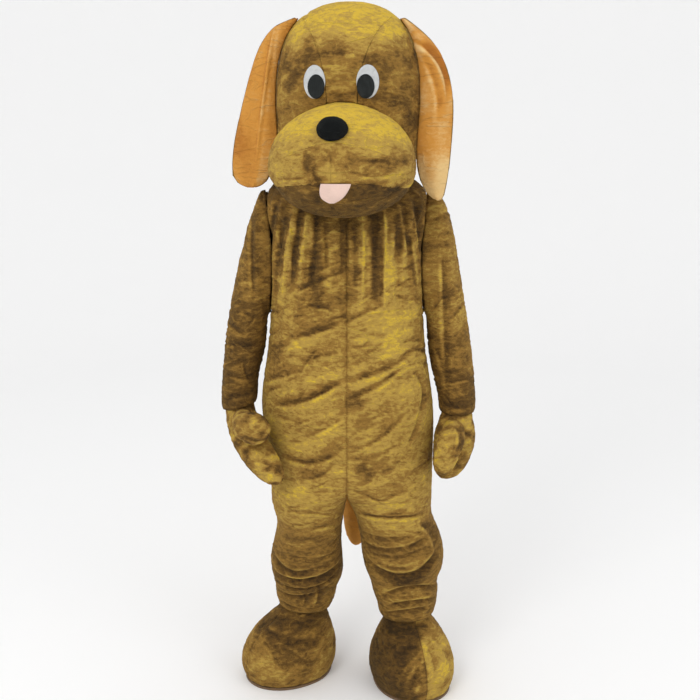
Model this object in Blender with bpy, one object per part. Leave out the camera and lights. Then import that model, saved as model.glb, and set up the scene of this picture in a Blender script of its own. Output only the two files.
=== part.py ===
"""A dog costume in plush, in the form it has when it is worn: head, one-piece suit, mitts and foot covers.

Every piece that a maker cuts is a wall of its own, with a seam gap to its neighbours. Lengths are in
metres, -Y is the front, +Z is up and +X is the wearer's left. Heights in the tables are above the ground,
and the whole part is lowered at the end so that its origin lies between the wearer's shoulders.
"""

import math

import bpy
import numpy as np

# Driving sizes.
SHOULDER_HEIGHT = 1.37
SUIT_WALL = 0.004
MITT_WALL = 0.004
FOOT_WALL = 0.005
HEAD_WALL = 0.008
SEAM_GAP = 0.0005
STEP = 1e-3
SHARP_ANGLE = math.radians(50)
TIP_SHARE = 0.4

# The head, about a centre of its own: half width, half depth, height above and below the centre.
HEAD_CENTRE = np.array([0.008, 0.0, 1.596])
HEAD_TURN = math.radians(-6.0)
HEAD_WIDE, HEAD_DEEP, HEAD_UP, HEAD_DOWN = 0.1835, 0.185, 0.233, 0.306
HEAD_SQUARE = 2.4

# The muzzle: half width, height above and below its fullest level, and how far it stands out.
MUZZLE_LEVEL = 1.436
MUZZLE_WIDE, MUZZLE_UP, MUZZLE_DOWN, MUZZLE_OUT = 0.180, 0.141, 0.127, 0.172
MUZZLE_SIDE, MUZZLE_PLANE = 0.004, -0.192
MUZZLE_SQUARE = 2.3
CHEEK_SEAM = -0.02
MUZZLE_FRONT_SHARE = 0.80
MUZZLE_FRONT_TURN = math.radians(90)
MUZZLE_ROOT_WIDE, MUZZLE_ROOT_UP, MUZZLE_ROOT_DOWN = 0.150, 0.145, 0.092
CHIN_ROOT_Y = -0.150
# Where the muzzle's root meets the edge of the neck opening, and that edge's middle at the side.
NECK_CORNER_TURN = math.radians(-28)
NECK_EDGE_SIDE = np.array([0.160, 0.0, -0.158])

# How much squarer than an ellipse the suit's sections are.
SUIT_SQUARE = 2.3
GATHERS = 6


def table(names, *rows):
    """The rows as named columns."""
    return dict(zip(names.split(), np.array(rows, float).T))


# One row for each section of the suit, from the neck to the ankle. The section starts at the centre seam
# (start 90 degrees) or at the inseam (180), and ends at the side seam or at the armhole's edge.
SUIT_COLUMNS = "middle side_height side inseam start front back armhole set_back"
SUIT_BODY = (
    (1.388, 1.428, 0.080, 0, 90, 0.080, 0.080, 0, 0),
    (1.372, 1.420, 0.112, 0, 90, 0.096, 0.100, 0, 0),
    (1.349, 1.407, 0.150, 0, 90, 0.114, 0.122, 0, 0),
    (1.322, 1.390, 0.184, 0, 90, 0.131, 0.140, 0, 0),
    (1.292, 1.368, 0.206, 0, 90, 0.145, 0.152, 0, 0),
    (1.258, 1.322, 0.206, 0, 90, 0.154, 0.159, 0.044, 0),
    (1.222, 1.275, 0.205, 0, 90, 0.161, 0.164, 0.062, 0),
    (1.185, 1.228, 0.203, 0, 90, 0.166, 0.168, 0.071, 0),
    (1.148, 1.181, 0.202, 0, 90, 0.170, 0.170, 0.072, 0),
    (1.110, 1.134, 0.201, 0, 90, 0.172, 0.172, 0.065, 0),
    (1.072, 1.088, 0.200, 0, 90, 0.174, 0.173, 0.047, 0),
    (1.036, 1.046, 0.199, 0, 90, 0.175, 0.174, 0, 0),
)
SUIT = {
    "left": table(
        SUIT_COLUMNS,
        *SUIT_BODY,
        (0.985, 0.990, 0.203, 0, 90, 0.175, 0.176, 0, 0),
        (0.930, 0.932, 0.210, 0, 90, 0.176, 0.180, 0, 0),
        (0.870, 0.870, 0.221, 0, 90, 0.177, 0.185, 0, 0),
        (0.810, 0.810, 0.230, 0, 90, 0.178, 0.189, 0, 0),
        (0.740, 0.740, 0.233, 0, 90, 0.178, 0.191, 0, 0),
        (0.678, 0.672, 0.231, 0, 91, 0.175, 0.188, 0, 0),
        (0.630, 0.618, 0.231, 0, 97, 0.170, 0.182, 0, 0),
        (0.592, 0.575, 0.231, 0, 114, 0.162, 0.174, 0, 0),
        (0.562, 0.540, 0.230, 0, 146, 0.151, 0.162, 0, 0),
        (0.540, 0.510, 0.229, 0, 180, 0.141, 0.152, 0, 0),
        (0.490, 0.476, 0.234, 0.025, 180, 0.127, 0.134, 0, 0),
        (0.432, 0.438, 0.257, 0.036, 180, 0.122, 0.125, 0, 0),
        (0.376, 0.388, 0.268, 0.041, 180, 0.121, 0.120, 0, 0),
        (0.334, 0.345, 0.266, 0.049, 180, 0.117, 0.116, 0, 0),
        (0.301, 0.311, 0.247, 0.066, 180, 0.097, 0.102, 0, 0),
        (0.270, 0.278, 0.254, 0.070, 180, 0.102, 0.100, 0, 0),
        (0.246, 0.252, 0.250, 0.080, 180, 0.091, 0.094, 0, 0),
        (0.224, 0.230, 0.249, 0.086, 180, 0.090, 0.090, 0, 0),
        (0.203, 0.208, 0.241, 0.088, 180, 0.084, 0.084, 0, 0),
    ),
    "right": table(
        SUIT_COLUMNS,
        *SUIT_BODY,
        (0.985, 0.990, 0.204, 0, 90, 0.175, 0.176, 0, 0),
        (0.930, 0.932, 0.211, 0, 90, 0.176, 0.180, 0, 0),
        (0.870, 0.870, 0.223, 0, 90, 0.177, 0.185, 0, 0),
        (0.810, 0.810, 0.230, 0, 90, 0.178, 0.189, 0, 0),
        (0.740, 0.740, 0.222, 0, 90, 0.178, 0.191, 0, 0),
        (0.678, 0.672, 0.209, 0, 91, 0.175, 0.188, 0, 0),
        (0.630, 0.618, 0.205, 0, 97, 0.170, 0.182, 0, 0),
        (0.592, 0.575, 0.206, 0, 114, 0.160, 0.173, 0, 0),
        (0.562, 0.540, 0.206, 0, 146, 0.149, 0.161, 0, 0),
        (0.540, 0.510, 0.200, 0, 180, 0.138, 0.150, 0, 0),
        (0.490, 0.476, 0.190, 0.010, 180, 0.122, 0.130, 0, 0.008),
        (0.432, 0.432, 0.197, 0.016, 180, 0.115, 0.121, 0, 0.018),
        (0.376, 0.376, 0.212, 0.015, 180, 0.114, 0.116, 0, 0.028),
        (0.328, 0.334, 0.215, 0.010, 180, 0.113, 0.113, 0, 0.038),
        (0.291, 0.299, 0.210, 0.012, 180, 0.106, 0.108, 0, 0.045),
        (0.262, 0.268, 0.201, 0.030, 180, 0.088, 0.096, 0, 0.050),
        (0.241, 0.245, 0.204, 0.030, 180, 0.090, 0.092, 0, 0.052),
        (0.219, 0.224, 0.199, 0.038, 180, 0.085, 0.086, 0, 0.054),
        (0.198, 0.204, 0.192, 0.046, 180, 0.078, 0.080, 0, 0.055),
    ),
}
SHOULDER_ROW, UNDERARM_ROW = 4, 11
NECK_ORDER = (("left", True), ("left", False), ("right", False), ("right", True))
# The neckband's rings: how far above the gathered edge, and how wide against it.
NECKBAND = ((0.001, 1.0), (0.026, 0.96))
GATHER_DEPTH = table("row depth", (0, 0.0025), (1, 0.005), (3, 0.007), (8, 0.008), (11, 0.005), (14, 0.0))

# Sleeve sections: the point under the arm, the point outside it, and the half depth between them.
SLEEVE_COLUMNS = "inner inner_height outer outer_height depth set_back"
SLEEVE = {
    "left": table(
        SLEEVE_COLUMNS,
        (0.2040, 1.042, 0.236, 1.365, 0.080, 0),
        (0.2070, 1.038, 0.260, 1.332, 0.084, 0),
        (0.2085, 1.032, 0.276, 1.268, 0.083, 0),
        (0.2092, 1.025, 0.289, 1.202, 0.079, 0),
        (0.2096, 1.014, 0.301, 1.134, 0.075, 0.002),
        (0.2100, 0.998, 0.313, 1.066, 0.071, 0.004),
        (0.2130, 0.962, 0.326, 0.996, 0.068, 0.006),
        (0.2180, 0.924, 0.334, 0.938, 0.065, 0.006),
        (0.2270, 0.886, 0.339, 0.894, 0.062, 0.002),
        (0.2360, 0.850, 0.342, 0.854, 0.059, -0.004),
        (0.2430, 0.818, 0.344, 0.820, 0.056, -0.016),
        (0.2440, 0.790, 0.342, 0.790, 0.054, -0.026),
    ),
    "right": table(
        SLEEVE_COLUMNS,
        (0.2040, 1.042, 0.224, 1.363, 0.080, 0),
        (0.2070, 1.038, 0.245, 1.318, 0.084, 0),
        (0.2085, 1.032, 0.264, 1.252, 0.083, 0),
        (0.2092, 1.025, 0.281, 1.188, 0.079, 0),
        (0.2096, 1.014, 0.297, 1.122, 0.075, 0.002),
        (0.2105, 0.998, 0.310, 1.056, 0.071, 0.004),
        (0.2140, 0.962, 0.322, 0.990, 0.068, 0.006),
        (0.2210, 0.930, 0.328, 0.932, 0.065, 0.006),
        (0.2310, 0.898, 0.332, 0.890, 0.062, 0.000),
        (0.2350, 0.870, 0.334, 0.856, 0.059, -0.008),
        (0.2360, 0.844, 0.335, 0.826, 0.056, -0.018),
        (0.2370, 0.818, 0.334, 0.798, 0.054, -0.028),
    ),
}

# Mitts: the middle of each ring from the cuff to the fingertips, and its half width and half depth.
LIMB_COLUMNS = "x y height wide deep"
MITT = {
    "left": table(
        LIMB_COLUMNS,
        (0.293, -0.014, 0.838, 0.037, 0.037),
        (0.293, -0.024, 0.792, 0.038, 0.038),
        (0.290, -0.038, 0.762, 0.047, 0.043),
        (0.286, -0.058, 0.735, 0.056, 0.048),
        (0.280, -0.074, 0.702, 0.055, 0.048),
        (0.270, -0.084, 0.671, 0.048, 0.044),
        (0.260, -0.090, 0.647, 0.038, 0.034),
        (0.253, -0.093, 0.632, 0.025, 0.022),
        (0.250, -0.094, 0.624, 0.009, 0.008),
    ),
    "right": table(
        LIMB_COLUMNS,
        (0.286, -0.016, 0.850, 0.037, 0.037),
        (0.286, -0.026, 0.808, 0.037, 0.037),
        (0.278, -0.050, 0.768, 0.043, 0.041),
        (0.259, -0.092, 0.734, 0.044, 0.043),
        (0.235, -0.126, 0.706, 0.043, 0.041),
        (0.209, -0.154, 0.682, 0.040, 0.037),
        (0.189, -0.170, 0.662, 0.033, 0.030),
        (0.175, -0.180, 0.648, 0.022, 0.020),
        (0.169, -0.184, 0.642, 0.008, 0.008),
    ),
}
# Thumbs: the place on the mitt where each is sewn (turns round it, rings along it), then its rings.
THUMB_ROOT = {
    "left": {"turn": 0.285, "half_turn": 0.095, "ring": 2.95, "half_rings": 0.80, "wall_share": 0.14},
    "right": {"turn": 0.27, "half_turn": 0.105, "ring": 2.30, "half_rings": 0.75, "wall_share": 0.14},
}
THUMB = {
    "left": table(
        LIMB_COLUMNS,
        (0.267, -0.147, 0.742, 0.035, 0.033),
        (0.256, -0.163, 0.719, 0.034, 0.031),
        (0.248, -0.166, 0.690, 0.030, 0.027),
        (0.242, -0.167, 0.667, 0.020, 0.018),
        (0.240, -0.167, 0.658, 0.007, 0.007),
    ),
    "right": table(
        LIMB_COLUMNS,
        (0.261, -0.152, 0.781, 0.035, 0.036),
        (0.244, -0.171, 0.786, 0.043, 0.044),
        (0.221, -0.189, 0.779, 0.040, 0.040),
        (0.207, -0.201, 0.771, 0.026, 0.026),
        (0.202, -0.205, 0.767, 0.009, 0.009),
    ),
}

# Foot covers: ankle place, outward turn, and the sizes of the sole and of the dome over it.
FOOT = {
    "left": {"x": 0.171, "y": 0.012, "turn": math.radians(15), "ahead": 0.0},
    "right": {"x": 0.122, "y": 0.060, "turn": math.radians(56), "ahead": 0.016},
}
FOOT_TOE, FOOT_HEEL, FOOT_BALL_WIDE, FOOT_HEEL_WIDE = 0.166, 0.090, 0.112, 0.080
SOLE_THICK = 0.006
FOOT_COLUMNS = 24
ANKLE_WIDE, ANKLE_DEEP, ANKLE_TOP = 0.054, 0.060, 0.228
FOOT_PROFILE = table(
    "inward height bulge",
    (0.00, 0.0068, 0.000),
    (0.00, 0.034, 0.012),
    (0.03, 0.068, 0.016),
    (0.12, 0.104, 0.014),
    (0.27, 0.134, 0.008),
    (0.45, 0.156, 0.003),
    (0.66, 0.173, 0.000),
    (0.90, 0.190, 0.000),
    (1.00, ANKLE_TOP, 0.000),
)

# The tail's rings, from the seat to the rounded tip, and the oval where it is sewn on.
TAIL = table(
    LIMB_COLUMNS,
    (0.000, 0.212, 0.686, 0.027, 0.027),
    (0.001, 0.238, 0.664, 0.029, 0.029),
    (0.003, 0.254, 0.616, 0.031, 0.031),
    (0.009, 0.262, 0.545, 0.033, 0.033),
    (0.015, 0.263, 0.470, 0.035, 0.035),
    (0.021, 0.258, 0.395, 0.036, 0.036),
    (0.025, 0.253, 0.334, 0.033, 0.033),
    (0.027, 0.251, 0.302, 0.022, 0.022),
    (0.028, 0.250, 0.290, 0.008, 0.008),
)
TAIL_ROOT_HEIGHT, TAIL_ROOT_RADIUS = 0.694, 0.027

# The edge of the forehead and of the back of the head, from the muzzle (0) over the crown (1) to the
# nape (2): its turn up and over in degrees, and how far out it lies against CROWN_REACH ahead.
CROWN = table(
    "share turn across",
    (0.00, -5.0, 0.038),
    (0.20, 12.0, 0.042),
    (0.35, 25.0, 0.051),
    (0.50, 39.0, 0.066),
    (0.60, 48.6, 0.079),
    (0.70, 58.0, 0.096),
    (0.80, 70.7, 0.112),
    (1.00, 96.0, 0.132),
    (1.50, 150.0, 0.128),
    (2.00, 222.0, 0.104),
)
CROWN_REACH = 0.2

# Ears: height, inner and outer edge out from the head's middle, and how far each section hangs forward.
EAR_COLUMNS = "height inner outer y"
EAR = {
    "right": table(
        EAR_COLUMNS,
        (1.786, 0.110, 0.132, -0.032),
        (1.768, 0.120, 0.188, -0.037),
        (1.742, 0.132, 0.209, -0.042),
        (1.702, 0.148, 0.231, -0.047),
        (1.648, 0.158, 0.247, -0.051),
        (1.589, 0.163, 0.263, -0.054),
        (1.520, 0.168, 0.281, -0.057),
        (1.451, 0.181, 0.293, -0.060),
        (1.409, 0.194, 0.294, -0.061),
        (1.386, 0.206, 0.280, -0.063),
        (1.377, 0.228, 0.261, -0.064),
    ),
    "left": table(
        EAR_COLUMNS,
        (1.783, 0.110, 0.132, -0.032),
        (1.761, 0.122, 0.170, -0.037),
        (1.737, 0.135, 0.199, -0.042),
        (1.697, 0.148, 0.231, -0.047),
        (1.643, 0.158, 0.255, -0.052),
        (1.579, 0.164, 0.261, -0.056),
        (1.510, 0.172, 0.259, -0.058),
        (1.441, 0.170, 0.254, -0.064),
        (1.386, 0.184, 0.248, -0.070),
        (1.357, 0.204, 0.241, -0.075),
        (1.349, 0.220, 0.236, -0.077),
    ),
}
EAR_FACE, EAR_BACK = 0.008, 0.006
HEAD_SEAM_SHIFT = (0.0024, 0.0006, 0.0)
EAR_CLEARANCE, EAR_LEAST_WIDTH = 0.0012, 0.014
EAR_CREASE = {"right": 0.62, "left": 0.30}
EAR_CREASE_WIDE, EAR_CREASE_DEEP, EAR_BOW, EAR_RIM_SHARE = 0.16, 0.009, 0.010, 0.35

EYE_ACROSS = {"left": 0.060, "right": 0.065}
EYE_HEIGHT, EYE_WIDE, EYE_TALL = 1.627, 0.0255, 0.038
PUPIL_INWARD, PUPIL_DOWN, PUPIL_WIDE, PUPIL_TALL = 0.005, 0.011, 0.0195, 0.027
EYE_THICK = 0.002
NOSE_SIDE, NOSE_HEIGHT, NOSE_WIDE, NOSE_TALL = -0.004, 1.517, 0.036, 0.0255
NOSE_OUT, NOSE_RIM = 0.032, 0.004
NOSE_WAY = np.array([0.0, -0.90, 0.44])
TONGUE_SIDE, TONGUE_TOP, TONGUE_WIDE, TONGUE_LONG = 0.006, 1.398, 0.033, 0.043
TONGUE_THICK, TONGUE_LIFT, TONGUE_SLANT = 0.003, 0.004, -0.011
TONGUE_SQUARE = {"left": 1.7, "right": 3.0}

SIGN = {"left": 1.0, "right": -1.0}
FINISHES = {
    "plush_gold": ((0.36, 0.22, 0.045), 0.85),
    "plush_peach": ((0.80, 0.42, 0.16), 0.85),
    "plush_black": ((0.012, 0.012, 0.012), 0.9),
    "felt_pink": ((0.90, 0.62, 0.58), 0.9),
    "eye_white": ((0.82, 0.84, 0.88), 0.35),
    "eye_mesh": ((0.02, 0.02, 0.025), 0.6),
    "sole_vinyl": ((0.10, 0.07, 0.04), 0.7),
}


def clear_scene():
    for thing in list(bpy.data.objects):
        bpy.data.objects.remove(thing)


def material(name):
    """One Principled finish for each cloth."""
    made = bpy.data.materials.get(name)
    if made is None:
        colour, roughness = FINISHES[name]
        made = bpy.data.materials.new(name)
        made.use_nodes = True
        shader = made.node_tree.nodes["Principled BSDF"]
        shader.inputs["Base Color"].default_value = (*colour, 1.0)
        shader.inputs["Roughness"].default_value = roughness
    return made


def at(columns, name, row):
    """A column's value at a whole or part row."""
    return np.interp(row, np.arange(len(columns[name])), columns[name])


def powered(value, square):
    """A sine or cosine bent towards a squarer section."""
    return np.sign(value) * np.abs(value) ** (2 / square)


def points(x, y, z):
    return np.stack(np.broadcast_arrays(x, y, z), axis=-1)


def unit(vectors):
    return vectors / np.maximum(np.linalg.norm(vectors, axis=-1, keepdims=True), 1e-12)


def smooth(share):
    share = np.clip(share, 0, 1)
    return share * share * (3 - 2 * share)


def normals(surface, u, v, outward):
    """Unit normals from small steps on the surface, so that pieces on one surface share them."""
    along_u = surface(u + STEP, v) - surface(u - STEP, v)
    along_v = surface(u, v + STEP) - surface(u, v - STEP)
    return unit(np.cross(along_u, along_v)) * outward


def open_seams(outer, inner, edges, gap=SEAM_GAP):
    """Moves the named edges in by half the gap, outside and inside alike, so that neighbours never touch."""
    for edge in edges.split():
        last, beside = {
            "u0": ((slice(None), 0), (slice(None), 1)),
            "u1": ((slice(None), -1), (slice(None), -2)),
            "v0": ((0,), (1,)),
            "v1": ((-1,), (-2,)),
        }[edge]
        shift = unit(outer[beside] - outer[last]) * gap / 2
        outer[last] += shift
        inner[last] += shift


def solid(name, finish, outer, inner, parent, ring=False, ends=()):
    """The closed wall between an outer and an inner grid. A ring closes on itself across the grid.

    An end named in ends closes to a point, outside and inside."""
    rows, columns = outer.shape[:2]
    inside = rows * columns
    faces = []
    across = columns if ring else columns - 1
    for r in range(rows - 1):
        for c in range(across):
            n = (c + 1) % columns
            a, b = r * columns + c, r * columns + n
            d, e = a + columns, b + columns
            faces.append((a, b, e, d))
            faces.append((inside + e, inside + b, inside + a, inside + d))
    corners = [*outer.reshape(-1, 3), *inner.reshape(-1, 3)]
    for r, turned in ((0, True), (rows - 1, False)):
        closes = (r == 0 and "start" in ends) or (r > 0 and "end" in ends)
        tips = (len(corners), len(corners) + 1)
        if closes:
            corners += [outer[r].mean(axis=0), inner[r].mean(axis=0)]
        for c in range(across):
            a, b = r * columns + c, r * columns + (c + 1) % columns
            if closes:
                fan = [(a, b, tips[0]), (inside + b, inside + a, tips[1])]
            else:
                fan = [(a, b, inside + b, inside + a)]
            faces += [face[::-1] for face in fan] if turned else fan
    if not ring:
        for c, turned in ((0, False), (columns - 1, True)):
            for r in range(rows - 1):
                a, d = r * columns + c, (r + 1) * columns + c
                face = (a, d, inside + d, inside + a)
                faces.append(face[::-1] if turned else face)
    return add_mesh(name, finish, corners, faces, parent)


def stuffed(name, finish, rings, parent):
    """One closed body through rings, with a fan over each end."""
    rows, columns = rings.shape[:2]
    corners = [*rings.reshape(-1, 3), rings[0].mean(axis=0), rings[-1].mean(axis=0)]
    faces = []
    for c in range(columns):
        n = (c + 1) % columns
        for r in range(rows - 1):
            a, b = r * columns + c, r * columns + n
            faces.append((a, b, b + columns, a + columns))
        faces.append((n, c, rows * columns))
        faces.append(((rows - 1) * columns + c, (rows - 1) * columns + n, rows * columns + 1))
    return add_mesh(name, finish, corners, faces, parent)


def add_mesh(name, finish, corners, faces, parent):
    mesh = bpy.data.meshes.new(name)
    mesh.from_pydata([tuple(map(float, p)) for p in corners], [], faces)
    mesh.materials.append(material(finish))
    make_face_outwards(mesh)
    mesh.shade_smooth()
    mesh.set_sharp_from_angle(angle=SHARP_ANGLE)
    made = bpy.data.objects.new(name, mesh)
    bpy.data.collections["dog_costume"].objects.link(made)
    made.parent = parent
    return made


def make_face_outwards(mesh):
    """Turns every face round where the mesh encloses a negative volume."""
    mesh.calc_loop_triangles()
    spots = np.array([v.co for v in mesh.vertices])
    corners = spots[np.array([t.vertices for t in mesh.loop_triangles])]
    if np.linalg.det(corners).sum() < 0:
        mesh.flip_normals()


def suit_surface(side, front):
    """A quarter of the suit: u runs from the centre seam or inseam to the side, v down its sections."""
    rows = SUIT[side]
    depth_name, facing = ("front", -1.0) if front else ("back", 1.0)

    def surface(u, v):
        start = np.radians(at(rows, "start", v))
        depth = at(rows, depth_name, v)
        width = (at(rows, "side", v) - at(rows, "inseam", v)) / (1 - powered(np.cos(start), SUIT_SQUARE))
        centre = at(rows, "side", v) - width
        end = np.arcsin(np.clip(at(rows, "armhole", v) / depth, 0, 1) ** (SUIT_SQUARE / 2))
        angle = start + (end - start) * u
        ripple = np.interp(v, GATHER_DEPTH["row"], GATHER_DEPTH["depth"])
        ripple = -ripple * np.cos(2 * np.pi * GATHERS * u) * (1 - np.clip(u, 0, 1) ** 6)
        x = centre + (width + ripple) * powered(np.cos(angle), SUIT_SQUARE)
        y = at(rows, "set_back", v) + facing * (depth + ripple) * powered(np.sin(angle), SUIT_SQUARE)
        rise = np.clip(u, 0, 1) ** 1.6
        height = at(rows, "middle", v) + (at(rows, "side_height", v) - at(rows, "middle", v)) * rise
        return points(x * SIGN[side], y, height)

    return surface


def make_suit(parent):
    """Two fronts and two backs, each from the neck to the ankle."""
    columns = np.linspace(0, 1, 2 * GATHERS + 1)
    for side in ("left", "right"):
        rows = np.arange(len(SUIT[side]["side"]), dtype=float)
        for front in (True, False):
            name = f"{'front' if front else 'back'}_{side}"
            u, v = np.meshgrid(columns, rows)
            surface = suit_surface(side, front)
            outer = surface(u, v)
            facing = normals(surface, u, v, SIGN[side] * (-1.0 if front else 1.0))
            in_middle = SUIT[side]["inseam"] + (SUIT[side]["start"] == 180) <= 1
            facing[in_middle, 0, 0] = 0
            facing[SUIT[side]["start"] == 180, 0, 1] = 0
            facing[SUIT[side]["armhole"] == 0, -1, 1] = 0
            inner = outer - unit(facing) * SUIT_WALL
            open_seams(outer, inner, "u0 u1")
            solid(name, "plush_gold", outer, inner, parent)


def armhole(side):
    """The armhole's edge: up the front from the underarm to the shoulder, then down the back."""
    rows = np.arange(UNDERARM_ROW, SHOULDER_ROW - 1, -1, dtype=float)
    ones = np.ones_like(rows)
    front = suit_surface(side, True)(ones, rows)
    back = suit_surface(side, False)(ones, rows)
    return np.concatenate([front, back[-2:0:-1]])


def make_sleeve(side, parent):
    """One piece with its seam under the arm, from the armhole to the open cuff."""
    rows = SLEEVE[side]
    first = armhole(side)
    first[:, 0] += SIGN[side] * 2 * SEAM_GAP
    turn = np.linspace(0, 2 * np.pi, len(first), endpoint=False)
    rings = [first]
    for k in range(len(rows["inner"])):
        inner = np.array([rows["inner"][k], 0, rows["inner_height"][k]])
        outer = np.array([rows["outer"][k], 0, rows["outer_height"][k]])
        middle, reach = (inner + outer) / 2, (outer - inner) / 2
        ring = middle - np.cos(turn)[:, None] * reach
        ring[:, 1] += rows["set_back"][k] - np.sin(turn) * rows["depth"][k]
        rings.append(ring * np.array([SIGN[side], 1, 1]))
    tube(f"sleeve_{side}", "plush_gold", np.array(rings), SUIT_WALL, parent)


def grid_normals(rings):
    """Outward normals of closed rings, from their neighbours in the grid."""
    around = np.roll(rings, -1, axis=1) - np.roll(rings, 1, axis=1)
    along = np.gradient(rings, axis=0)
    facing = unit(np.cross(around, along))
    away = rings - rings.mean(axis=1, keepdims=True)
    return facing * np.sign((facing * away).sum(axis=-1, keepdims=True).sum(axis=1, keepdims=True))


def tube(name, finish, rings, wall, parent, ends=(), first_inner=None):
    """A wall round closed rings. A closed end is as thick as the wall along the tube too."""
    inner = rings - grid_normals(rings) * wall
    if first_inner is not None:
        inner[0] = first_inner
    if "end" in ends:
        tip = unit(rings[-1].mean(axis=0) - rings[-2].mean(axis=0))
        inner[-1] = rings[-1] + (rings[-1].mean(axis=0) - rings[-1]) * TIP_SHARE - tip * wall
    return solid(name, finish, rings, inner, parent, ring=True, ends=ends)


def swept(rows, columns, root=None):
    """Oval rings square to the line through the rows' middles, turned as little as possible on the way.

    A root is a ring that comes first and sets where the rings begin and which way they run."""
    spots = points(rows["x"], rows["y"], rows["height"])
    turn = np.linspace(0, 2 * np.pi, columns, endpoint=False)
    if root is None:
        ways = unit(np.gradient(spots, axis=0))
        across, hand, rings = np.array([1.0, 0, 0]), 1.0, []
    else:
        middle = root.mean(axis=0)
        ways = unit(np.gradient(np.concatenate([[middle], spots]), axis=0))
        across, quarter = root[0] - middle, root[columns // 4] - middle
        hand, rings = np.sign(np.cross(ways[0], across) @ quarter), [root]
        ways = ways[1:]
    for spot, way, wide, deep in zip(spots, ways, rows["wide"], rows["deep"]):
        across = unit(across - way * (across @ way))
        other = hand * np.cross(way, across)
        rings.append(spot + np.outer(np.cos(turn) * wide, across) + np.outer(np.sin(turn) * deep, other))
    return np.array(rings)


def on_rings(rings, turns, along):
    """Points on the surface through some rings, at turns round it and whole or part rings along it."""
    columns = rings.shape[1]
    c, r = (turns % 1) * columns, np.clip(along, 0, len(rings) - 1.001)
    c0, r0 = c.astype(int), r.astype(int)
    b, a = (c - c0)[:, None], (r - r0)[:, None]
    c0, c1 = c0 % columns, (c0 + 1) % columns
    near = rings[r0, c0] * (1 - b) + rings[r0, c1] * b
    far = rings[r0 + 1, c0] * (1 - b) + rings[r0 + 1, c1] * b
    return near * (1 - a) + far * a


def make_mitt(side, parent):
    """The hand of the mitt, and the thumb that is sewn to it."""
    mirror = np.array([SIGN[side], 1, 1])
    hand = swept(MITT[side], 16)
    tube(f"mitt_{side}", "plush_gold", hand * mirror, MITT_WALL, parent, ends=("end",))

    place, turn = THUMB_ROOT[side], np.linspace(0, 2 * np.pi, 12, endpoint=False)
    roots = []
    for share in (1.0, 1 - place["wall_share"]):
        turns = place["turn"] + share * place["half_turn"] * np.cos(turn)
        along = place["ring"] + share * place["half_rings"] * np.sin(turn)
        spots = on_rings(hand, turns, along)
        away = unit(spots - np.array([at(MITT[side], name, along) for name in ("x", "y", "height")]).T)
        roots.append(spots + away * 3 * SEAM_GAP)
    thumb = swept(THUMB[side], len(turn), roots[0])
    tube(f"thumb_{side}", "plush_gold", thumb * mirror, MITT_WALL, parent, ("end",), roots[1] * mirror)


def foot_outline(angle):
    """The sole's edge about the ankle, toe at -Y: half an egg for the toe and half an oval for the heel."""
    ahead = -np.cos(angle)
    long = np.where(ahead < 0, FOOT_TOE, FOOT_HEEL)
    share = (1 + np.cos(angle)) / 2
    wide = FOOT_HEEL_WIDE + (FOOT_BALL_WIDE - FOOT_HEEL_WIDE) * smooth(share * 1.25)
    return wide * powered(np.sin(angle), 2.2), long * powered(ahead, 2.2)


def make_foot(side, parent):
    """The cover over the foot, in halves that meet over the toe and behind the heel, and its sole."""
    place, half = FOOT[side], FOOT_COLUMNS // 2
    angle = np.linspace(0, 2 * np.pi, FOOT_COLUMNS, endpoint=False)
    edge_x, edge_y = foot_outline(angle)
    length = np.hypot(edge_x, edge_y)
    rings = []
    for inward, height, bulge in zip(*FOOT_PROFILE.values()):
        out = (1 + bulge / length) * (1 - inward)
        x = np.sin(angle) * ANKLE_WIDE * inward + edge_x * out
        y = -np.cos(angle) * ANKLE_DEEP * inward + edge_y * out - place["ahead"] * (1 - inward)
        rings.append(turned_foot(place, side, x, y, height))
    rings = np.array(rings)
    inside = rings - grid_normals(rings) * FOOT_WALL
    for name, first in (("outer", 0), ("inner", half)):
        cut = np.arange(first, first + half + 1) % FOOT_COLUMNS
        outer, inner = rings[:, cut], inside[:, cut]
        open_seams(outer, inner, "u0 u1")
        solid(f"foot_{side}_{name}", "plush_gold", outer, inner, parent)
    rim = turned_foot(place, side, edge_x, edge_y - place["ahead"], SOLE_THICK)
    middle = turned_foot(place, side, edge_x * 0.5, edge_y * 0.5 - place["ahead"], SOLE_THICK)
    on_ground = np.array([1, 1, 0])
    top, bottom = np.array([rim, middle]), np.array([rim, middle]) * on_ground
    solid(f"sole_{side}", "sole_vinyl", top, bottom, parent, ring=True, ends=("end",))


def turned_foot(place, side, x, y, height):
    cos, sin = math.cos(place["turn"]), math.sin(place["turn"])
    across = place["x"] + x * cos - y * sin
    ahead = place["y"] + x * sin + y * cos
    return points(across * SIGN[side], ahead, height)


def make_neckband(parent):
    """The plain band that the gathers are drawn up on."""
    share = np.linspace(0, 1, GATHERS + 1)
    top = np.zeros_like(share)
    quarters = [suit_surface(side, front)(share, top) for side, front in NECK_ORDER]
    edge = np.concatenate([(q[::-1] if k % 2 else q)[:-1] for k, q in enumerate(quarters)])
    rings = []
    for rise, narrower in NECKBAND:
        ring = edge * np.array([narrower, narrower, 1]) + np.array([0, 0, rise])
        rings.append(ring)
    tube("neckband", "plush_gold", np.array(rings), SUIT_WALL, parent)


def make_tail(parent):
    """A stuffed tube that is sewn to the seat and hangs free behind."""
    turn = np.linspace(0, 2 * np.pi, 12, endpoint=False)
    height = TAIL_ROOT_HEIGHT + TAIL_ROOT_RADIUS * np.sin(turn)
    seat = np.interp(-height, -SUIT["left"]["middle"], SUIT["left"]["back"])
    root = points(TAIL_ROOT_RADIUS * np.cos(turn), seat + 2 * SEAM_GAP, height)
    stuffed("tail", "plush_peach", swept(TAIL, len(turn), root), parent)


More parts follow.
